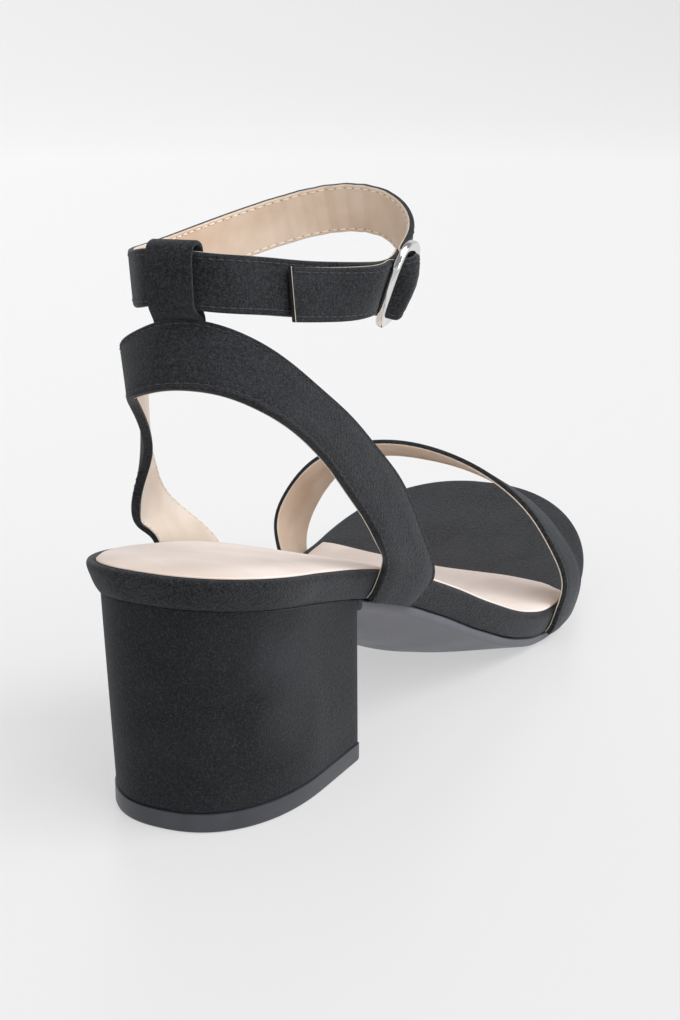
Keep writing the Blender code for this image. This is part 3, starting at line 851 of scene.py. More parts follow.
@dataclass
class Sock:
    """Beige sock on the board, softly padded under the heel, with a straight front edge."""

    last: Last
    thickness: float = 0.5
    inset: float = 1.2
    inset_gain: float = 1.6
    gain_over: tuple[float, float] = (1.0, 14.0)
    lift: float = 0.15
    edge: tuple[Rim, ...] = (Rim(0.6, 0.0), Rim(0.25, 0.06), Rim(0.0, 0.3), Rim(0.0, 0.5))
    front_medial: float = 183.0
    front_lateral: float = 176.5
    front_power: float = 8.0
    # x, shift of the front edge in y
    front_bow: Table = (
        (-48.6, -1.6), (-46.0, 0.0), (-29.0, -1.9), (-7.0, -3.4), (4.0, -2.1), (15.0, -0.6),
        (25.0, -1.2), (33.0, -5.4))
    front_reach: float = 45.0
    pad_rise: float = 0.5
    pad_border: float = 0.16
    pad_start: tuple[float, float] = (1.0, 10.0)
    pad_end: tuple[float, float] = (60.0, 120.0)
    columns: int = 30

    def side(self, side: Side, inset: float, rise: float) -> Array:
        """One side of the sock at one level.

        Args:
            side: side of the foot.
            inset: distance in from the outline.
            rise: height over the board.

        Returns:
            Points from heel to toe.
        """
        rows = self.last.stations(0.0, self.front_lateral)
        border = np.full(len(rows), inset)
        if side is Side.MEDIAL:
            border += self.inset_gain * smooth_step(*self.gain_over, rows)
        flat = self.last.outline(rows, side, border)
        if side is Side.MEDIAL:
            reach = self.front_medial - self.front_lateral
            ahead = flat[:, 1] + reach * np.clip(
                flat[:, 1] / self.front_lateral, 0.0, 1.0) ** self.front_power
            moved = self.last.outline(ahead, side, border)[:, 0]
            x = np.where(flat[:, 1] > self.last.seat_depth, moved, flat[:, 0])
            flat = np.column_stack([x, ahead])
        return np.column_stack([flat, self.last.below(flat[:, 1], -rise)])

    def pad(self, share: Array, y: Array) -> Array:
        """Rise of the padding under the heel.

        Args:
            share: share across the sock.
            y: stations.

        Returns:
            The rise at each place.
        """
        across = smooth_step(0.0, self.pad_border, np.minimum(share, 1.0 - share))
        along = smooth_step(*self.pad_start, y) * (1.0 - smooth_step(*self.pad_end, y))
        return self.pad_rise * across * along

    def build(self, bench: Bench, film: Material) -> None:
        """Lay the sock on the board.

        Args:
            bench: where pieces are made.
            film: the finish.
        """
        top = self.lift + self.thickness
        rings = [tuple(self.side(side, self.inset + rim.inset, top - rim.drop) for side in Side)
                 for rim in self.edge]
        points, faces = Loft(rings, self.columns, crown=self.pad).skin()
        y = points[:, 1].copy()
        near = smooth_step(self.front_lateral - self.front_reach, self.front_lateral, y)
        points[:, 1] += monotone(*zip(*self.front_bow), points[:, 0]) * near
        points[:, 2] += self.last.top(points[:, 1]) - self.last.top(y)
        bench.piece("sock_film", (points, faces), film, "sock_lining", "sock")


@dataclass
class Outsole:
    """Rubber outsole with its edge strip and its convex waist."""

    last: Last
    top: float = 7.2
    start: float = 59.2
    section: tuple[Rim, ...] = (
        Rim(3.0, 0.0), Rim(2.5, 0.4), Rim(2.5, 1.6), Rim(2.9, 2.25), Rim(3.4, 2.5))
    # y, how far the middle swells below the edges
    bellies: Table = (
        (55.0, 5.4), (85.0, 8.0), (105.0, 7.8), (125.0, 6.2), (139.0, 3.6), (150.0, 1.0),
        (158.0, 0.0), (242.0, 0.0))
    columns: int = 24

    def swell(self, share: Array, y: Array) -> Array:
        """Drop of the underside between its edges, from the share across and y."""
        return -monotone(*zip(*self.bellies), y) * (1.0 - (2.0 * share - 1.0) ** 2)

    def build(self, bench: Bench, rubber: Material) -> None:
        """Loft the outsole.

        Args:
            bench: where pieces are made.
            rubber: the finish.
        """
        rows = self.last.stations(self.start, self.last.length)
        rings = [self.last.ring(rows, r.inset, self.top + r.drop) for r in self.section]
        bench.piece("outsole_moulding", Loft(rings, self.columns, belly=self.swell).skin(),
                    rubber, "outsole_rubber", "outsole")


class HeelLevel(NamedTuple):
    """Plan of the heel at one level."""

    half: float
    back: float
    breast: float
    power: float


@dataclass
class Heel:
    """Block heel covered in suede, and its rubber top piece."""

    last: Last
    foot: HeelLevel = HeelLevel(22.5, 7.6, 60.6, 2.35)
    head: HeelLevel = HeelLevel(22.9, 2.6, 58.9, 2.15)
    round_depth: float = 34.8
    corner: float = 1.1
    floor: float = 4.8
    roof: float = 7.2
    # height, step out of the top piece from the foot of the heel
    top_piece: Table = ((4.5, -0.1), (4.35, 0.25), (0.7, 0.25), (0.25, 0.1), (0.0, -0.6))
    levels: int = 16
    round_steps: int = 44
    side_steps: int = 8
    corner_steps: int = 4
    columns: int = 8

    def ring(self, plan: HeelLevel, height: Callable[[Array], Array]) -> Pair:
        """Ring of the heel: rounded back, straight sides, flat breast.

        Args:
            plan: sizes of the ring.
            height: height from y.

        Returns:
            The ring's two sides.
        """
        turn = quarter_turn(self.round_steps)
        bend = quarter_turn(self.corner_steps)[1:]
        y_side = np.linspace(plan.back + self.round_depth, plan.breast - self.corner,
                             self.side_steps + 1)[1:]
        y = np.concatenate([plan.back + self.round_depth * (1.0 - np.cos(turn)), y_side,
                            plan.breast - self.corner * (1.0 - np.sin(bend))])
        x = np.concatenate([plan.half * super_round(np.cos(turn), plan.power),
                            np.full(len(y_side), plan.half),
                            plan.half - self.corner * (1.0 - np.cos(bend))])
        return tuple(np.column_stack([side.value * x, y, height(y)]) for side in Side)

    def build(self, bench: Bench, suede: Material, rubber: Material) -> None:
        """Loft the covered block from its roof down, and the top piece with broken edges.

        Args:
            bench: where pieces are made.
            suede: finish of the block.
            rubber: finish of the top piece.
        """
        cover = []
        for share in shares(self.levels)[::-1]:
            def height(y: Array, share: float = share) -> Array:
                """Level of the ring between the top piece and the board."""
                return self.floor + (self.last.below(y, self.roof) - self.floor) * share
            plan = HeelLevel(*(a + (b - a) * share for a, b in zip(self.foot, self.head)))
            cover.append(self.ring(plan, height))
        tread = []
        for z, out in self.top_piece:
            plan = HeelLevel(self.foot.half + out, self.foot.back - out,
                             self.foot.breast + out, self.foot.power)
            tread.append(self.ring(plan, lambda y, z=z: np.full(len(y), z)))
        bench.piece("heel_cover", Loft(cover, self.columns).skin(), suede, "heel_suede",
                    "heel_block")
        bench.piece("top_piece_moulding", Loft(tread, self.columns).skin(), rubber,
                    "top_piece_rubber", "top_piece")


# Straps


class Row(NamedTuple):
    """The two edges of a strap at one station."""

    rear_x: float
    rear_y: float
    rear_z: float
    front_x: float
    front_y: float
    front_z: float


class Base(NamedTuple):
    """Where a strap leaves the rim: y of its edges at the top and where it turns under."""

    rear: float
    front: float
    rear_low: float
    front_low: float


class Spot(NamedTuple):
    """Point of a strap's section: share across, shift from there, rise from the middle."""

    share: float
    shift: float
    rise: float


class StitchLine(NamedTuple):
    """Row of stitches: share across, shift from there, face of the strap."""

    share: float
    shift: float
    face: Face


def closed_section(*half: Place) -> tuple[Spot, ...]:
    """Section of a strap from the half at its rear edge and that half's mirror image."""
    front = [(1.0 - share, -shift, rise) for share, shift, rise in half[::-1] if share != 0.5]
    return tuple(Spot(*spot) for spot in (*half, *front))


STRAP_HALF = 0.8           # half of suede, backing and lining together
STITCH_INSET = 1.15        # stitch row to the strap's edge on the suede
LINING_INSET = 0.8         # stitch row to the strap's edge on the lining
STITCH_SINK = 0.14         # depth of the furrow that the stitches pull in

# Sections of the layers: thick suede whose cut edge is dyed, thin cream backing, lining
SUEDE_SECTION = closed_section(
    (0.5, 0.0, -0.42), (0.25, 0.0, -0.42), (0.0, 0.04, -0.42), (0.0, 0.0, 0.0),
    (0.0, 0.02, 0.42), (0.0, 0.12, 0.66), (0.0, 0.36, 0.79), (0.0, 0.7, 0.81),
    (0.0, STITCH_INSET, STRAP_HALF - STITCH_SINK), (0.0, 1.8, 0.81), (0.32, 0.0, 0.82),
    (0.5, 0.0, 0.83))
BACKING_SECTION = closed_section(
    (0.33, 0.0, -0.59), (0.0, 0.02, -0.59), (0.0, -0.03, -0.51), (0.0, 0.02, -0.43),
    (0.33, 0.0, -0.43))
LINING_SECTION = closed_section(
    (0.5, 0.0, -0.8), (0.32, 0.0, -0.8), (0.0, 1.4, -0.8), (0.0, LINING_INSET, -0.72),
    (0.0, 0.5, -0.8), (0.0, 0.3, -0.79), (0.0, 0.14, -0.7), (0.0, 0.1, -0.6),
    (0.25, 0.0, -0.6), (0.5, 0.0, -0.6))
BOTH_EDGES = (
    StitchLine(0.0, STITCH_INSET, Face.SUEDE), StitchLine(1.0, -STITCH_INSET, Face.SUEDE),
    StitchLine(0.0, LINING_INSET, Face.LINING), StitchLine(1.0, -LINING_INSET, Face.LINING))


@dataclass
class StrapSkin:
    """Middle surface of a strap: rows along it, columns across, and its outward side."""

    middle: Array
    outward: Array

    @classmethod
    def through(cls, middle: Array) -> "StrapSkin":
        """Take the outward side from the grid itself."""
        across = np.gradient(middle, axis=1)
        return cls(middle, unit(np.cross(across, np.gradient(middle, axis=0))))

    def part(self, first: int, last: int) -> "StrapSkin":
        """The rows from first up to last."""
        return StrapSkin(self.middle[first:last], self.outward[first:last])

    def spot(self, share: float, shift: Amount, rise: Amount) -> Array:
        """Point of the section at each row.

        Args:
            share: share across from the rear edge.
            shift: millimetres from there, towards the front edge, one or one for each row.
            rise: millimetres out of the middle, one or one for each row.

        Returns:
            One point for each row.
        """
        rows, columns, _ = self.middle.shape
        width = np.linalg.norm(np.diff(self.middle, axis=1), axis=2).sum(axis=1)
        at = (share + shift / width) * (columns - 1)
        k = np.clip(np.floor(at).astype(int), 0, columns - 2)
        part = (at - k)[:, None]
        row = np.arange(rows)
        point, out = (grid[row, k] * (1.0 - part) + grid[row, k + 1] * part
                      for grid in (self.middle, self.outward))
        return point + unit(out) * np.broadcast_to(rise, rows)[:, None]

    def layer(self, section: Sequence[Spot]) -> Skin:
        """One layer of the strap, from the points round its section."""
        return swept(np.stack([self.spot(*spot) for spot in section], axis=1))


@dataclass
class Stitching:
    """Rows of lockstitch sewn along straps, with dark dots between the stitches as painted shade
    of the needle holes.
    """

    pitch: float = 2.2
    length: float = 1.45
    lead: float = 0.88
    radius: float = 0.15
    ends: float = 0.45
    arch: float = 0.16
    sink: float = 0.08
    # dark dots sunk almost flush between stitches: painted shade of the needle holes
    hole_dot: float = 0.26
    hole_dot_ends: float = 0.3
    hole_dot_sink: float = 0.195
    sides: int = 6
    rings: int = 5

    def bead(self, centre: Array, out: Array, girth: Array) -> Skin:
        """Rounded thread along a few points.

        Args:
            centre: points along the thread.
            out: direction away from the face at each of them.
            girth: radius of the thread at each of them.

        Returns:
            Points and faces.
        """
        turn = full_turn(self.sides)[None, :, None]
        side = unit(np.cross(unit(np.gradient(centre, axis=0)), out))
        ring = side[:, None, :] * np.cos(turn) + out[:, None, :] * np.sin(turn)
        return swept(centre[:, None, :] + ring * girth[:, None, None])

    def sew(self, path: Array, out: Array) -> tuple[list[Skin], list[Skin]]:
        """Stitches along a path.

        Args:
            path: points along the stitch row, on the face.
            out: direction away from the face at each point.

        Returns:
            Skins of the stitches, and of the dark dots between them that paint the needle holes'
            shade.
        """
        run = running_length(path)
        share = shares(self.rings - 1)
        arch = np.sin(share * math.pi)

        def along(at: Array, values: Array) -> Array:
            """Values read at lengths along the path."""
            return np.stack([np.interp(at, run, column) for column in values.T], axis=1)

        stitches, knots = [], []
        for start in np.arange(self.lead, run[-1] - self.pitch, self.pitch):
            at = start + share * self.length
            lift = unit(along(at, out))
            centre = along(at, path) + lift * (arch[:, None] * self.arch - self.sink)
            girth = self.radius * (self.ends + (1.0 - self.ends) * arch)
            stitches.append(self.bead(centre, lift, girth))
            # dark dot in the gap: painted shade of the needle hole
            gap = start + (self.length + self.pitch) / 2.0
            at = gap + (share - 0.5) * self.hole_dot * 2.0
            lift = unit(along(at, out))
            girth = self.hole_dot * (self.hole_dot_ends + (1.0 - self.hole_dot_ends) * arch)
            knots.append(self.bead(along(at, path) - lift * self.hole_dot_sink, lift, girth))
        return stitches, knots


@dataclass
class StrapFinishes:
    """What a strap is dressed with."""

    suede: Material
    lining: Material
    felt: Material
    dark_thread: Material
    pale_thread: Material
    # black dots between stitches: painted shade of the needle holes
    hole_shade_thread: Material


@dataclass
class Strap:
    """Strap of suede on a felt backing with a coated lining."""

    last: Last
    name: str = ""
    node: str = ""
    slot: str = ""
    columns: int = 5
    steps: int = 220
    plump: float = 0.0
    thread_sink: float = 0.06
    stitches: tuple[StitchLine, ...] = ()

    def skin(self) -> StrapSkin:
        """Middle surface of the strap."""
        raise NotImplementedError

    def lined(self, skin: StrapSkin) -> list[StrapSkin]:
        """Runs of the strap that carry backing and lining."""
        return [skin.part(0, -1)]

    def build(self, bench: Bench, finishes: StrapFinishes) -> None:
        """Make the strap's layers and its stitching.

        Args:
            bench: where pieces are made.
            finishes: what the strap is dressed with.
        """
        skin = self.skin()
        inner = self.lined(skin)
        gain = 1.0 + self.plump / STRAP_HALF
        suede = [s._replace(rise=s.rise * gain) if s.rise > 0.0 else s for s in SUEDE_SECTION]
        bench.piece(f"{self.name}_suede", skin.layer(suede), finishes.suede, self.slot, self.node)
        sewn: dict[Face, list[Skin]] = {face: [] for face in Face}
        hole_shade_dots: list[Skin] = []
        for line in self.stitches:
            outer = line.face is Face.SUEDE
            rise = STRAP_HALF - self.thread_sink + (self.plump if outer else 0.0)
            for run in [skin] if outer else inner:
                path = run.spot(line.share, line.shift, line.face.value * rise)
                out = run.outward[:, -1 if line.share else 0] * line.face.value
                stitches, knots = Stitching().sew(path, out)
                sewn[line.face] += stitches
                hole_shade_dots += knots
        for name, skins, finish in (
                ("backing", [r.layer(BACKING_SECTION) for r in inner], finishes.felt),
                ("lining", [r.layer(LINING_SECTION) for r in inner], finishes.lining),
                ("suede_stitches", sewn[Face.SUEDE], finishes.dark_thread),
                ("lining_stitches", sewn[Face.LINING], finishes.pale_thread),
                # the knots piece holds the painted shade of the needle holes
                ("knots", hole_shade_dots, finishes.hole_shade_thread)):
            if skins:
                bench.piece(f"{self.name}_{name}", joined(skins), finish, self.slot)


@dataclass
class RimStrap(Strap):
    """Strap that rises from the outer rim and goes down to the inner rim."""

    standoff: float = 1.265
    rows: tuple[Row, ...] = ()
    base_lateral: Base = Base(0.0, 0.0, 0.0, 0.0)
    base_medial: Base = Base(0.0, 0.0, 0.0, 0.0)

    def rim_rows(self, base: Base, side: Side) -> list[Array]:
        """Rows where the strap lies against the rim, upward.

        Args:
            base: where the strap leaves the rim.
            side: side of the foot.

        Returns:
            The points of each row.
        """
        board = Footbed(self.last)
        levels = board.section[board.widest:]
        top, depth = levels[0].drop, levels[-1].drop - levels[0].drop
        rows = []
        for level in levels[::-1]:
            turn = (level.drop - top) / depth
            y = np.linspace(base.rear + (base.rear_low - base.rear) * turn,
                            base.front + (base.front_low - base.front) * turn, self.columns)
            flat = self.last.outline(y, side, level.inset - self.standoff)
            rows.append(np.column_stack([flat, self.last.below(y, level.drop)]))
        return rows

    def skin(self) -> StrapSkin:
        """Lay the strap from rim to rim.

        Returns:
            Its middle surface.
        """
        share = shares(self.columns - 1)[:, None]
        rows = self.rim_rows(self.base_lateral, Side.LATERAL)
        for row in self.rows:
            rear, front = np.array(row).reshape(2, 3)
            rows.append(rear + (front - rear) * share)
        rows += self.rim_rows(self.base_medial, Side.MEDIAL)[::-1]
        grid = np.array(rows)
        knots = arc_knots(grid[:, self.columns // 2])
        return StrapSkin.through(natural(knots, grid, shares(self.steps)))


@dataclass
class QuarterStrap(RimStrap):
    """Back strap: up from the outer rim, round behind the ankle, down to the inner rim."""

    name: str = "quarter"
    node: str = "quarter_strap"
    slot: str = "quarter_suede"
    plump: float = 0.3
    stitches: tuple[StitchLine, ...] = BOTH_EDGES
    back_row: int = 8
    rows: tuple[Row, ...] = (
        Row(30.6, 54.0, 54.6, 31.4, 77.0, 49.5), Row(29.8, 48.3, 62.5, 30.4, 72.2, 58.4),
        Row(28.8, 41.9, 69.6, 29.2, 66.5, 67.4), Row(27.8, 34.1, 77.7, 28.0, 56.6, 76.8),
        Row(25.7, 26.0, 85.5, 26.5, 44.8, 87.0), Row(21.6, 18.9, 91.8, 23.5, 34.4, 95.5),
        Row(15.1, 15.2, 95.4, 17.7, 28.5, 102.6), Row(8.0, 13.8, 96.5, 9.1, 23.2, 108.1),
        Row(0.0, 13.1, 96.0, 0.0, 19.4, 109.8), Row(-8.3, 15.6, 93.4, -9.2, 20.4, 106.9),
        Row(-14.4, 23.8, 89.6, -17.2, 25.5, 102.2), Row(-17.6, 32.7, 82.6, -20.6, 37.6, 94.5),
        Row(-20.5, 39.6, 74.6, -25.3, 46.2, 84.4), Row(-24.6, 43.5, 67.4, -29.6, 54.0, 73.8),
        Row(-28.0, 45.8, 60.5, -31.6, 60.5, 64.6), Row(-29.3, 48.6, 54.4, -31.8, 68.0, 55.2))
    base_lateral: Base = Base(60.6, 83.5, 59.4, 79.0)
    base_medial: Base = Base(51.6, 79.0, 51.2, 76.0)
    turned_from: float = -11.0
    turned_to: float = 51.5
    turned_fade: float = 7.0
    turned_end: float = 0.6
    turned: tuple[Spot, ...] = (
        Spot(0.0, 0.02, -0.1), Spot(0.0, -0.12, -0.4), Spot(0.0, -0.12, -0.7),
        Spot(0.0, 0.0, -0.92), Spot(0.0, 0.25, -1.03), Spot(0.0, 0.6, -1.05),
        Spot(0.0, 1.2, -1.0), Spot(0.0, 1.4, -0.9), Spot(0.0, 1.4, -0.7), Spot(0.0, 0.6, -0.5))

    def build(self, bench: Bench, finishes: StrapFinishes) -> None:
        """Make the strap, with its rear edge turned over on the inner leg.

        Args:
            bench: where pieces are made.
            finishes: what the strap is dressed with.
        """
        super().build(bench, finishes)
        skin = self.skin()
        edge = skin.middle[:, 0]
        turned = np.flatnonzero((edge[:, 0] < self.turned_from) & (edge[:, 2] > self.turned_to))
        leg = skin.part(turned[0], turned[-1])
        fade = smooth_step(self.turned_to, self.turned_to + self.turned_fade, leg.middle[:, 0, 2])
        sunk = self.turned_end + (1.0 - self.turned_end) * fade
        section = [Spot(s.share, s.shift * fade, s.rise * sunk) for s in self.turned]
        bench.piece("quarter_turned_edge", leg.layer(section), finishes.suede, self.slot)


@dataclass
class ToeStrap(RimStrap):
    """Toe strap: one arch over the forefoot, from the outer rim to the inner rim."""

    name: str = "toe_strap"
    node: str = "toe_strap"
    slot: str = "toe_strap_suede"
    steps: int = 150
    rows: tuple[Row, ...] = (
        Row(38.6, 157.0, 17.0, 37.2, 173.0, 16.0), Row(34.2, 159.5, 25.5, 32.2, 175.5, 22.9),
        Row(26.5, 161.8, 34.5, 24.2, 178.0, 29.8), Row(15.0, 164.0, 42.0, 12.8, 180.2, 35.6),
        Row(1.0, 165.6, 46.9, -1.2, 181.8, 39.6), Row(-14.1, 166.2, 48.8, -14.8, 182.8, 40.9),
        Row(-29.3, 165.8, 46.6, -28.3, 183.4, 40.1), Row(-42.0, 164.6, 40.2, -39.6, 183.4, 35.2),
        Row(-49.1, 162.6, 31.1, -46.3, 183.0, 28.1), Row(-51.7, 160.4, 21.6, -50.7, 181.8, 19.8))
    base_lateral: Base = Base(155.0, 171.0, 154.5, 170.0)
    base_medial: Base = Base(158.5, 179.0, 158.0, 178.0)


class Station(NamedTuple):
    """Middle of the ankle strap, lean of its top edge outward, and its layer."""

    x: float
    y: float
    z: float
    lean: float
    out: float


class Crease(NamedTuple):
    """Soft fold across a strap: place along it, half width, and how far it stands out."""

    at: float
    half_width: float
    out: float


LAYER_STEP = 2.1           # bar of the buckle to the middle of the strap behind it
HUMP = 3.5                 # bar of the buckle to the middle of the strap that bulges over it


@dataclass
class AnkleStrap(Strap):
    """Ankle strap: buckle end, through the loop, round the ankle, tail over the buckle."""

    name: str = "ankle_strap"
    node: str = "ankle_strap"
    slot: str = "ankle_strap_suede"
    width: float = 12.0
    columns: int = 9
    steps: int = 520
    probe: float = 0.0005
    stitches: tuple[StitchLine, ...] = BOTH_EDGES
    loop_station: int = 7
    buckle_station: int = 23
    tail_slant: float = 0.5
    tail_reach: float = 9.0
    tail_taper: float = 0.035
    taper_over: tuple[float, float] = (6.0, 16.0)
    hump_crown: tuple[float, float] = (1.0, 1.7)
    hump_reach: float = 5.0
    hump_low: float = 2.7
    hump_shift: float = 3.4
    skived: float = 5.5
    # rise and step ahead of the pale line across the tail: partly the cream cut edge, partly a
    # painted highlight on the suede's outer corner
    cut_edge_and_highlight: Table = (
        (0.6, 0.0), (0.64, 0.08), (0.76, 0.09), (0.81, 0.02), (0.76, -0.05), (0.64, -0.05))
    creases: tuple[Crease, ...] = (
        Crease(155.5, 1.1, 0.12), Crease(160.2, 0.8, -0.12), Crease(163.8, 0.9, 0.16),
        Crease(167.4, 0.7, -0.16), Crease(169.6, 0.6, 0.18), Crease(172.0, 0.7, -0.18),
        Crease(174.6, 0.7, 0.2), Crease(177.2, 0.6, -0.14), Crease(179.0, 0.6, 0.16),
        Crease(181.2, 0.7, -0.16), Crease(184.4, 1.0, 0.14))
    stations: tuple[Station, ...] = (
        Station(24.6, 78.0, 112.6, 18.0, -3.0), Station(26.6, 70.5, 111.8, 18.0, -3.0),
        Station(26.8, 61.5, 111.8, 16.0, -3.0), Station(24.0, 50.5, 112.8, 0.0, -LAYER_STEP),
        Station(19.8, 40.0, 114.2, -9.0, -LAYER_STEP), Station(14.6, 30.0, 116.1, -9.0, -1.0),
        Station(8.0, 19.9, 117.9, -3.0, 0.0), Station(0.0, 18.5, 118.3, 0.0, 0.0),
        Station(-7.3, 19.0, 118.0, 2.0, 0.0), Station(-13.1, 24.4, 116.4, 4.0, 0.0),
        Station(-19.3, 33.6, 115.2, 4.0, 0.0), Station(-24.2, 45.5, 114.2, 2.0, 0.0),
        Station(-26.0, 58.5, 114.2, 0.0, 0.0), Station(-24.4, 71.0, 115.7, -4.0, 0.0),
        Station(-19.0, 82.0, 118.4, -8.0, 0.0), Station(-10.4, 91.0, 121.7, -13.0, 0.0),
        Station(0.0, 96.4, 124.0, -16.0, 0.0), Station(10.0, 96.6, 123.6, -14.0, 0.0),
        Station(17.6, 92.6, 120.7, -3.0, 0.0), Station(22.1, 85.8, 116.5, 7.0, 0.0),
        Station(24.6, 78.6, 113.0, 7.0, -1.0), Station(25.3, 76.2, 112.5, 11.0, -1.0),
        Station(26.1, 73.6, 112.1, 18.0, 1.7), Station(26.6, 70.5, 111.8, 18.0, HUMP),
        Station(26.8, 67.4, 111.8, 18.0, 1.7), Station(26.8, 64.8, 111.9, 17.0, -1.0),
        Station(26.8, 62.2, 111.8, 16.0, -0.9), Station(24.0, 50.5, 112.1, 0.0, 0.0),
        Station(19.8, 40.0, 113.3, -8.0, 0.2), Station(17.7, 35.2, 114.0, -10.0, 0.4))

    def line(self) -> Pair:
        """Move the middle of the strap to its layer at each station.

        Returns:
            The middle points and their running shares.
        """
        table = np.array(self.stations)
        line = table[:, :3]
        way = np.gradient(line, axis=0)
        out = unit(np.column_stack([-way[:, 1], way[:, 0], np.zeros(len(line))]))
        line = line + out * table[:, 4:]
        return line, arc_knots(line)

    def course(self, at: Array) -> tuple[Array, Array, Array]:
        """Middle, width direction and run of the strap.

        Args:
            at: running shares along the strap.

        Returns:
            Middle points, unit vectors up the strap's width, unit vectors along it.
        """
        line, knots = self.line()
        lean = np.radians(natural(knots, [s.lean for s in self.stations], at))[:, None]
        behind, middle, ahead = (natural(knots, line, np.clip(at + step, 0.0, 1.0))
                                 for step in (-self.probe, 0.0, self.probe))
        way = unit(ahead - behind)
        outward = unit(np.cross([0.0, 0.0, 1.0], way))
        return middle, np.cos(lean) * np.cross(way, outward) + np.sin(lean) * outward, way

    def fold(self, run: Array) -> Array:
        """How far the creases push the strap out, from the length along it."""
        return sum(c.out * np.exp(-((run - c.at) / c.half_width) ** 2) for c in self.creases)

    def bar_run(self, run: Array) -> float:
        """Length along the strap at the buckle's bar."""
        return float(np.interp(self.line()[1][self.buckle_station], shares(self.steps), run))

    def lined(self, skin: StrapSkin) -> list[StrapSkin]:
        """Stop the lining on both sides of the bar, where the strap is skived to bulge over it.

        Args:
            skin: middle surface of the strap.

        Returns:
            The two lined runs.
        """
        run = running_length(self.course(shares(self.steps))[0])
        far, near = np.searchsorted(run, self.bar_run(run) + np.array([-1.0, 1.0]) * self.skived)
        return [skin.part(0, far), skin.part(near, -1)]

    def skin(self) -> StrapSkin:
        """Lay the strap from the buckle end to the slanted tail.

        Returns:
            Its middle surface.
        """
        middle, across, way = self.course(shares(self.steps))
        outward = np.cross(across, way)
        run = running_length(middle)
        share = 2.0 * shares(self.columns - 1) - 1.0
        slant = self.tail_slant * smooth_step(run[-1] - self.tail_reach, run[-1], run)
        bar = self.bar_run(run)
        arch, sag = (np.exp(-((run - bar - shift) / self.hump_reach) ** 2)[:, None]
                     for shift in (0.0, self.hump_shift))
        crown = np.where(share < 0.0, *self.hump_crown)
        rise = self.fold(run)[:, None] - crown * arch * share ** 2
        taper = self.tail_taper * smooth_step(*np.add(bar, self.taper_over), run)
        half = self.width / 2.0 * (1.0 - taper)
        wide = half[:, None] * share - self.hump_low * sag * ((1.0 - share) / 2.0) ** 2
        grid = sum(direction[:, None, :] * amount[:, :, None] for direction, amount in (
            (across, wide), (way, slant[:, None] * share), (outward, rise)))
        return StrapSkin.through(middle[:, None, :] + grid)

    def build(self, bench: Bench, finishes: StrapFinishes) -> None:
        """Make the strap, with a pale line across the end of its tail: partly the cream cut edge,
        partly a painted highlight on the suede's outer corner.

        Args:
            bench: where pieces are made.
            finishes: what the strap is dressed with.
        """
        super().build(bench, finishes)
        skin = self.skin()
        end, out = skin.middle[-1], skin.outward[-1]
        way = unit(end - skin.middle[-2])
        rings = np.stack([end + out * rise + way * ahead for rise, ahead in self.cut_edge_and_highlight], axis=1)
        # the tail's pale line: partly cut edge, partly a painted highlight on the outer corner
        bench.piece("ankle_strap_cut_edge", swept(rings), finishes.felt, self.slot)


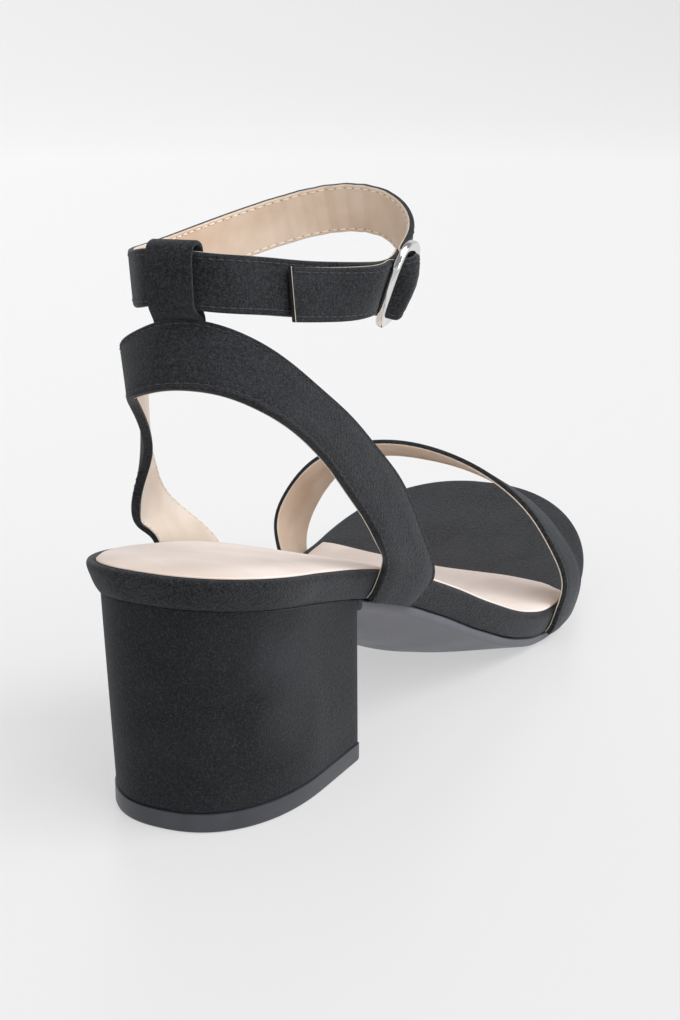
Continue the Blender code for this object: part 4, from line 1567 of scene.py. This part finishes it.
@dataclass
class BackLoop:
    """Folded suede loop that rises from the back strap and carries the ankle strap."""

    left: float = 5.75
    right: float = 5.2
    wall: float = 1.0
    slack: float = 1.0
    seat: float = 0.3
    tuck: float = 0.5
    # half depth of the pinched foot, height over its end
    foot: Table = ((0.3, 0.0), (0.48, 0.8))
    foot_height: float = 4.0
    foot_reach: float = 8.0
    # shares of the half depth, upward, and the heights that go with them
    swell: tuple[float, ...] = (0.66, 0.88, 1.0, 1.0, 0.72)
    above_seat: float = 0.6
    beside_strap: tuple[float, float] = (-2.6, 1.0)
    under_top: tuple[float, float] = (1.0, 0.3)
    tilt: float = 0.5
    tilt_over: tuple[float, float] = (9.0, 20.0)
    tilt_axis: float = 0.25
    thin_end: float = 0.55
    thin_over: float = 0.06
    steps: int = 110
    section: tuple[Spot, ...] = closed_section(
        (0.5, 0.0, -1.0), (0.25, 0.0, -1.0), (0.0, 0.4, -1.0), (0.0, 0.1, -0.7),
        (0.0, 0.0, 0.0), (0.0, 0.1, 0.7), (0.0, 0.4, 1.0), (0.25, 0.0, 1.02), (0.5, 0.0, 1.05))

    def path(self, strap: AnkleStrap, foot: Row) -> Array:
        """Middle of the strip: up the back, over the strap and down again.

        Args:
            strap: the ankle strap that the loop carries.
            foot: the row of the back strap that the loop stands on.

        Returns:
            y and z of points along the strip.
        """
        hold = strap.stations[strap.loop_station]
        reach = STRAP_HALF + self.slack + self.wall / 2.0
        top = hold.z + strap.width / 2.0 + self.slack + self.wall / 2.0
        low = hold.z - strap.width / 2.0 - self.seat
        levels = (low + self.above_seat, *(hold.z + a for a in self.beside_strap),
                  *(top - reach * a for a in self.under_top))
        rear = [(foot.front_y, a, foot.front_z - self.tuck + z) for a, z in self.foot]
        rear += [(hold.y, reach * a, z) for a, z in zip(self.swell, levels)]
        line = np.array([(y - a, z) for y, a, z in rear] + [(hold.y, top)]
                        + [(y + a, z) for y, a, z in rear[::-1]])
        knots = arc_knots(line)
        return np.stack([hermite(knots, column, np.gradient(column, knots), shares(self.steps))
                         for column in line.T], axis=1)

    def build(self, bench: Bench, strap: AnkleStrap, quarter: QuarterStrap,
              suede: Material) -> None:
        """Sweep the strip over the ankle strap and down into the back strap.

        Args:
            bench: where pieces are made.
            strap: the ankle strap that the loop carries.
            quarter: the back strap that holds the loop's ends.
            suede: the finish.
        """
        foot = quarter.rows[quarter.back_row]
        path = self.path(strap, foot)
        at = shares(self.steps)
        way = unit(np.gradient(path, axis=0))
        out = np.stack([-way[:, 1], way[:, 0]], axis=1)
        height = path[:, 1] - path[0, 1]
        low = 1.0 - smooth_step(0.0, self.foot_height, height)
        fold = self.tilt * smooth_step(*self.tilt_over, height)
        full = smooth_step(0.0, self.thin_over, at) * smooth_step(0.0, self.thin_over, 1.0 - at)
        thick = self.wall / 2.0 * (self.thin_end + (1.0 - self.thin_end) * full)
        edge = quarter.skin().middle[::-1, -1]
        edge = edge[np.abs(edge[:, 1] - foot.front_y) < self.foot_reach]
        rings = []
        for share, shift, rise in self.section:
            x = np.full(len(path), -self.left + (self.left + self.right) * share + shift)
            yz = path + out * (thick * rise)[:, None]
            yz[:, 1] += fold * (share - self.tilt_axis)
            for c in range(2):
                seam, middle = (np.interp(a, edge[:, 0], edge[:, c + 1]) for a in (x, 0.0))
                yz[:, c] += low * (seam - middle)
            rings.append(np.column_stack([x, yz]))
        bench.piece("back_loop_strip", swept(np.stack(rings, axis=1)), suede, "loop_suede",
                    "back_loop")


@dataclass
class Buckle:
    """Bowed oval frame with a bar across its middle."""

    half_length: float = 7.5
    half_height: float = 9.1
    power: float = 2.3
    rail: float = 2.5
    thick: float = 1.7
    bow: float = 0.6
    lean_deg: float = 1.5
    drop: float = 1.4
    bar_half: float = 1.0
    bar_thick: float = 0.64
    frame_steps: int = 120
    section_steps: int = 20
    section_power: float = 4.4

    def oval(self, half_a: float, half_b: float, power: float, steps: int) -> Array:
        """Superellipse, with points evenly spread by angle.

        Args:
            half_a: half of its first axis.
            half_b: half of its second axis.
            power: 2 for an ellipse, more for squarer ends.
            steps: number of points.

        Returns:
            The points.
        """
        turn = np.stack([np.cos(full_turn(steps)), np.sin(full_turn(steps))], axis=1)
        return np.sign(turn) * np.abs(turn) ** (2.0 / power) * (half_a, half_b)

    def build(self, bench: Bench, strap: AnkleStrap, nickel: Material) -> None:
        """Sweep the frame and the bar at the strap's buckle station.

        Args:
            bench: where pieces are made.
            strap: the strap that holds the buckle.
            nickel: the finish.
        """
        middle, across, way = (v[0] for v in strap.course(
            strap.line()[1][[strap.buckle_station]]))
        outward = np.cross(across, way)
        lean = math.radians(self.lean_deg)
        up = math.cos(lean) * across + math.sin(lean) * outward
        out = np.cross(up, way)
        centre = middle - outward * HUMP - across * self.drop
        plan = self.oval(self.half_length, self.half_height, self.power, self.frame_steps)
        lift = self.bow * (plan[:, :1] / self.half_length) ** 2
        line = centre + plan[:, :1] * way + plan[:, 1:] * up + lift * out
        along = unit(np.roll(line, -1, axis=0) - np.roll(line, 1, axis=0))
        front = unit(out - along * (along @ out)[:, None])
        section = self.oval(self.rail / 2.0, self.thick / 2.0, self.section_power,
                            self.section_steps)
        rings = (line[:, None, :] + np.cross(along, front)[:, None, :] * section[:, :1]
                 + front[:, None, :] * section[:, 1:])
        bar = self.oval(self.bar_half, self.bar_thick, 2.0, self.section_steps)
        ends = np.array([-self.half_height, self.half_height])[:, None, None]
        rod = centre + ends * up + bar[:, :1] * way + bar[:, 1:] * out
        bench.piece("buckle_frame", joined([swept(rings, closed=True), swept(rod)]), nickel,
                    "buckle_silver", "buckle")


# Studio


class LampKind(Enum):
    """Kinds of light, with the setting that says how wide each is."""

    SUN = "angle"
    AREA = "size"


class Lamp(NamedTuple):
    """A light: name, kind, place, watts (per square metre for a sun), radians or metres."""

    name: str
    kind: LampKind
    place: Place
    power: float
    spread: float


@dataclass
class Studio:
    """Pale sweep, soft light and the camera."""

    camera_at: Place = (0.2098, -0.4461, 0.1840)
    aim_at: Place = (-0.0237, 0.0386, 0.0287)
    roll_deg: float = 0.23
    lens_mm: float = 69.0
    sensor_mm: float = 36.0
    clip: tuple[float, float] = (0.01, 20.0)
    floor_radius: float = 1.3
    sweep_radius: float = 0.9
    wall_height: float = 1.6
    turn_steps: int = 96
    bend_steps: int = 16
    sky: str = "#F4F5F8"
    sky_light: float = 0.35
    lit_at: Place = (0.0, -0.02, 0.05)
    lamps: tuple[Lamp, ...] = (
        Lamp("key_scrim", LampKind.SUN, (1.25, 0.1, 1.1), 4.1, math.radians(60.0)),
        Lamp("side_softbox", LampKind.AREA, (0.9, -0.8, 0.75), 5.0, 0.5),
        Lamp("top_softbox", LampKind.AREA, (0.1, 0.1, 1.5), 5.0, 1.0))

    def sweep(self) -> None:
        """Round floor that curves up into a wall."""
        bend = quarter_turn(self.bend_steps)[::-1]
        wall = self.floor_radius + self.sweep_radius
        profile = [(wall, self.wall_height), *zip(
            self.floor_radius + self.sweep_radius * np.sin(bend),
            self.sweep_radius * (1.0 - np.cos(bend)))]
        turn = full_turn(self.turn_steps)
        points, faces = swept(np.array([
            np.column_stack([r * np.cos(turn), r * np.sin(turn), np.full(len(turn), z)])
            for r, z in profile]))
        rim, hub = faces[-1], len(points)
        fan = [(a, b, hub) for a, b in zip(rim, [*rim[1:], rim[0]])]
        mesh = bpy.data.meshes.new("studio_sweep")
        mesh.from_pydata([*points.tolist(), (0.0, 0.0, 0.0)], [], faces[:-2] + fan)
        mesh.shade_smooth()
        mesh.materials.append(OpalSweep("sweep_opal_acrylic_satin").make())
        made = bpy.data.objects.new("studio_sweep", mesh)
        bpy.context.scene.collection.objects.link(made)

    def light(self) -> None:
        """Soft sky, a very wide key from the right, and softboxes at the side and the top."""
        world = bpy.data.worlds.new("studio_sky")
        world.use_nodes = True
        feed(world.node_tree.nodes["Background"],
             {"Color": linear(self.sky), "Strength": self.sky_light})
        bpy.context.scene.world = world
        for lamp in self.lamps:
            light = bpy.data.lights.new(lamp.name, lamp.kind.name)
            light.energy = lamp.power
            setattr(light, lamp.kind.value, lamp.spread)
            made = bpy.data.objects.new(lamp.name, light)
            made.location = lamp.place
            made.rotation_mode = "QUATERNION"
            aim = Vector(self.lit_at) - Vector(lamp.place)
            made.rotation_quaternion = aim.to_track_quat("-Z", "Y")
            bpy.context.scene.collection.objects.link(made)

    def camera(self) -> None:
        """Camera at the photo's angle to the shoe."""
        lens = bpy.data.cameras.new("camera")
        lens.lens = self.lens_mm
        lens.sensor_width = self.sensor_mm
        lens.clip_start, lens.clip_end = self.clip
        made = bpy.data.objects.new("camera", lens)
        place = Vector(self.camera_at)
        look = (Vector(self.aim_at) - place).to_track_quat("-Z", "Y").to_matrix().to_4x4()
        roll = Matrix.Rotation(math.radians(self.roll_deg), 4, "Z")
        made.matrix_world = Matrix.Translation(place) @ look @ roll
        bpy.context.scene.collection.objects.link(made)
        bpy.context.scene.camera = made

    def build(self) -> None:
        """Set up the whole studio."""
        self.camera()
        self.sweep()
        self.light()
        view = bpy.context.scene.view_settings
        view.view_transform = "Standard"
        view.look = "None"
        LOG.info("studio ready")


def main() -> None:
    """Dress the shoe piece by piece, then set up the studio."""
    logging.basicConfig(level=logging.INFO, format="%(name)s: %(message)s")
    bench = Bench.from_frame()
    last = Last()
    suede = SandedMicrofibre("black_faux_suede_sanded").make()
    # lighter soft spots on the heel
    heel_suede = SandedMicrofibre(
        "black_faux_suede_stretched", nap="#1A1B1D", brushed="#26272A", grain_mm=0.5,
        patch_mm=22.0, stretch=(1.0, 1.0, 0.8), tip_share=0.2, relief=0.5,
        shade_and_tone_spots=(SoftSpot(29.0, -91.5, 33.0, 15.0, 0.1), SoftSpot(28.4, -95.0, 22.0, 12.0, 0.1),
                SoftSpot(27.0, -99.0, 39.0, 11.0, 0.1))).make()
    # darker soft spots along the sock's back edge: painted shade
    sock_film = CoatedLining(
        "rosy_pu_sock_calendered", light="#E6DCD5", shade="#DDD0C8", roughness=0.58,
        specular=0.15, shade_and_tone_spots=(
            SoftSpot(-6.0, -118.0, 58.0, 17.0, 0.45), SoftSpot(9.0, -120.0, 59.0, 15.0, 0.5),
            SoftSpot(20.0, -115.0, 58.0, 20.0, 0.5))).make()
    finishes = StrapFinishes(
        # the quarter's lining in its lit copy: painted light
        suede, CoatedLining("beige_pu_lining_calendered").make(),
        CutFelt("cream_felt_cut_edge").make(),
        SpunThread("charcoal_polyester_thread_spun").make(),
        SpunThread("ecru_polyester_thread_spun", dye="#F0E8DC", ply="#DCD0C0").make(),
        # black dots between stitches: painted shade of the needle holes
        SpunThread("black_polyester_thread_spun", dye="#0E0E0F", ply="#1A1A1C").make())
    # the same lining darkened and warmed for the toe and ankle straps: painted shade
    shaded_lining_finishes = replace(finishes, lining=CoatedLining(
        "tan_pu_lining_calendered", light="#D4C1AF", shade="#C0A790").make())

    Footbed(last).build(bench, suede)
    Sock(last).build(bench, sock_film)
    Outsole(last).build(bench, MouldedRubber("slate_tpr_outsole_moulded").make())
    Heel(last).build(bench, heel_suede, MouldedRubber(
        "slate_tpr_top_piece_moulded", body="#2D2E34", bloom="#383940").make())
    quarter = QuarterStrap(last)
    quarter.build(bench, finishes)
    ToeStrap(last).build(bench, shaded_lining_finishes)
    ankle = AnkleStrap(last)
    ankle.build(bench, shaded_lining_finishes)
    BackLoop().build(bench, ankle, quarter, suede)
    Buckle().build(bench, ankle, PolishedNickel("nickel_plate_polished").make())
    Studio().build()


if __name__ == "__main__":
    main()
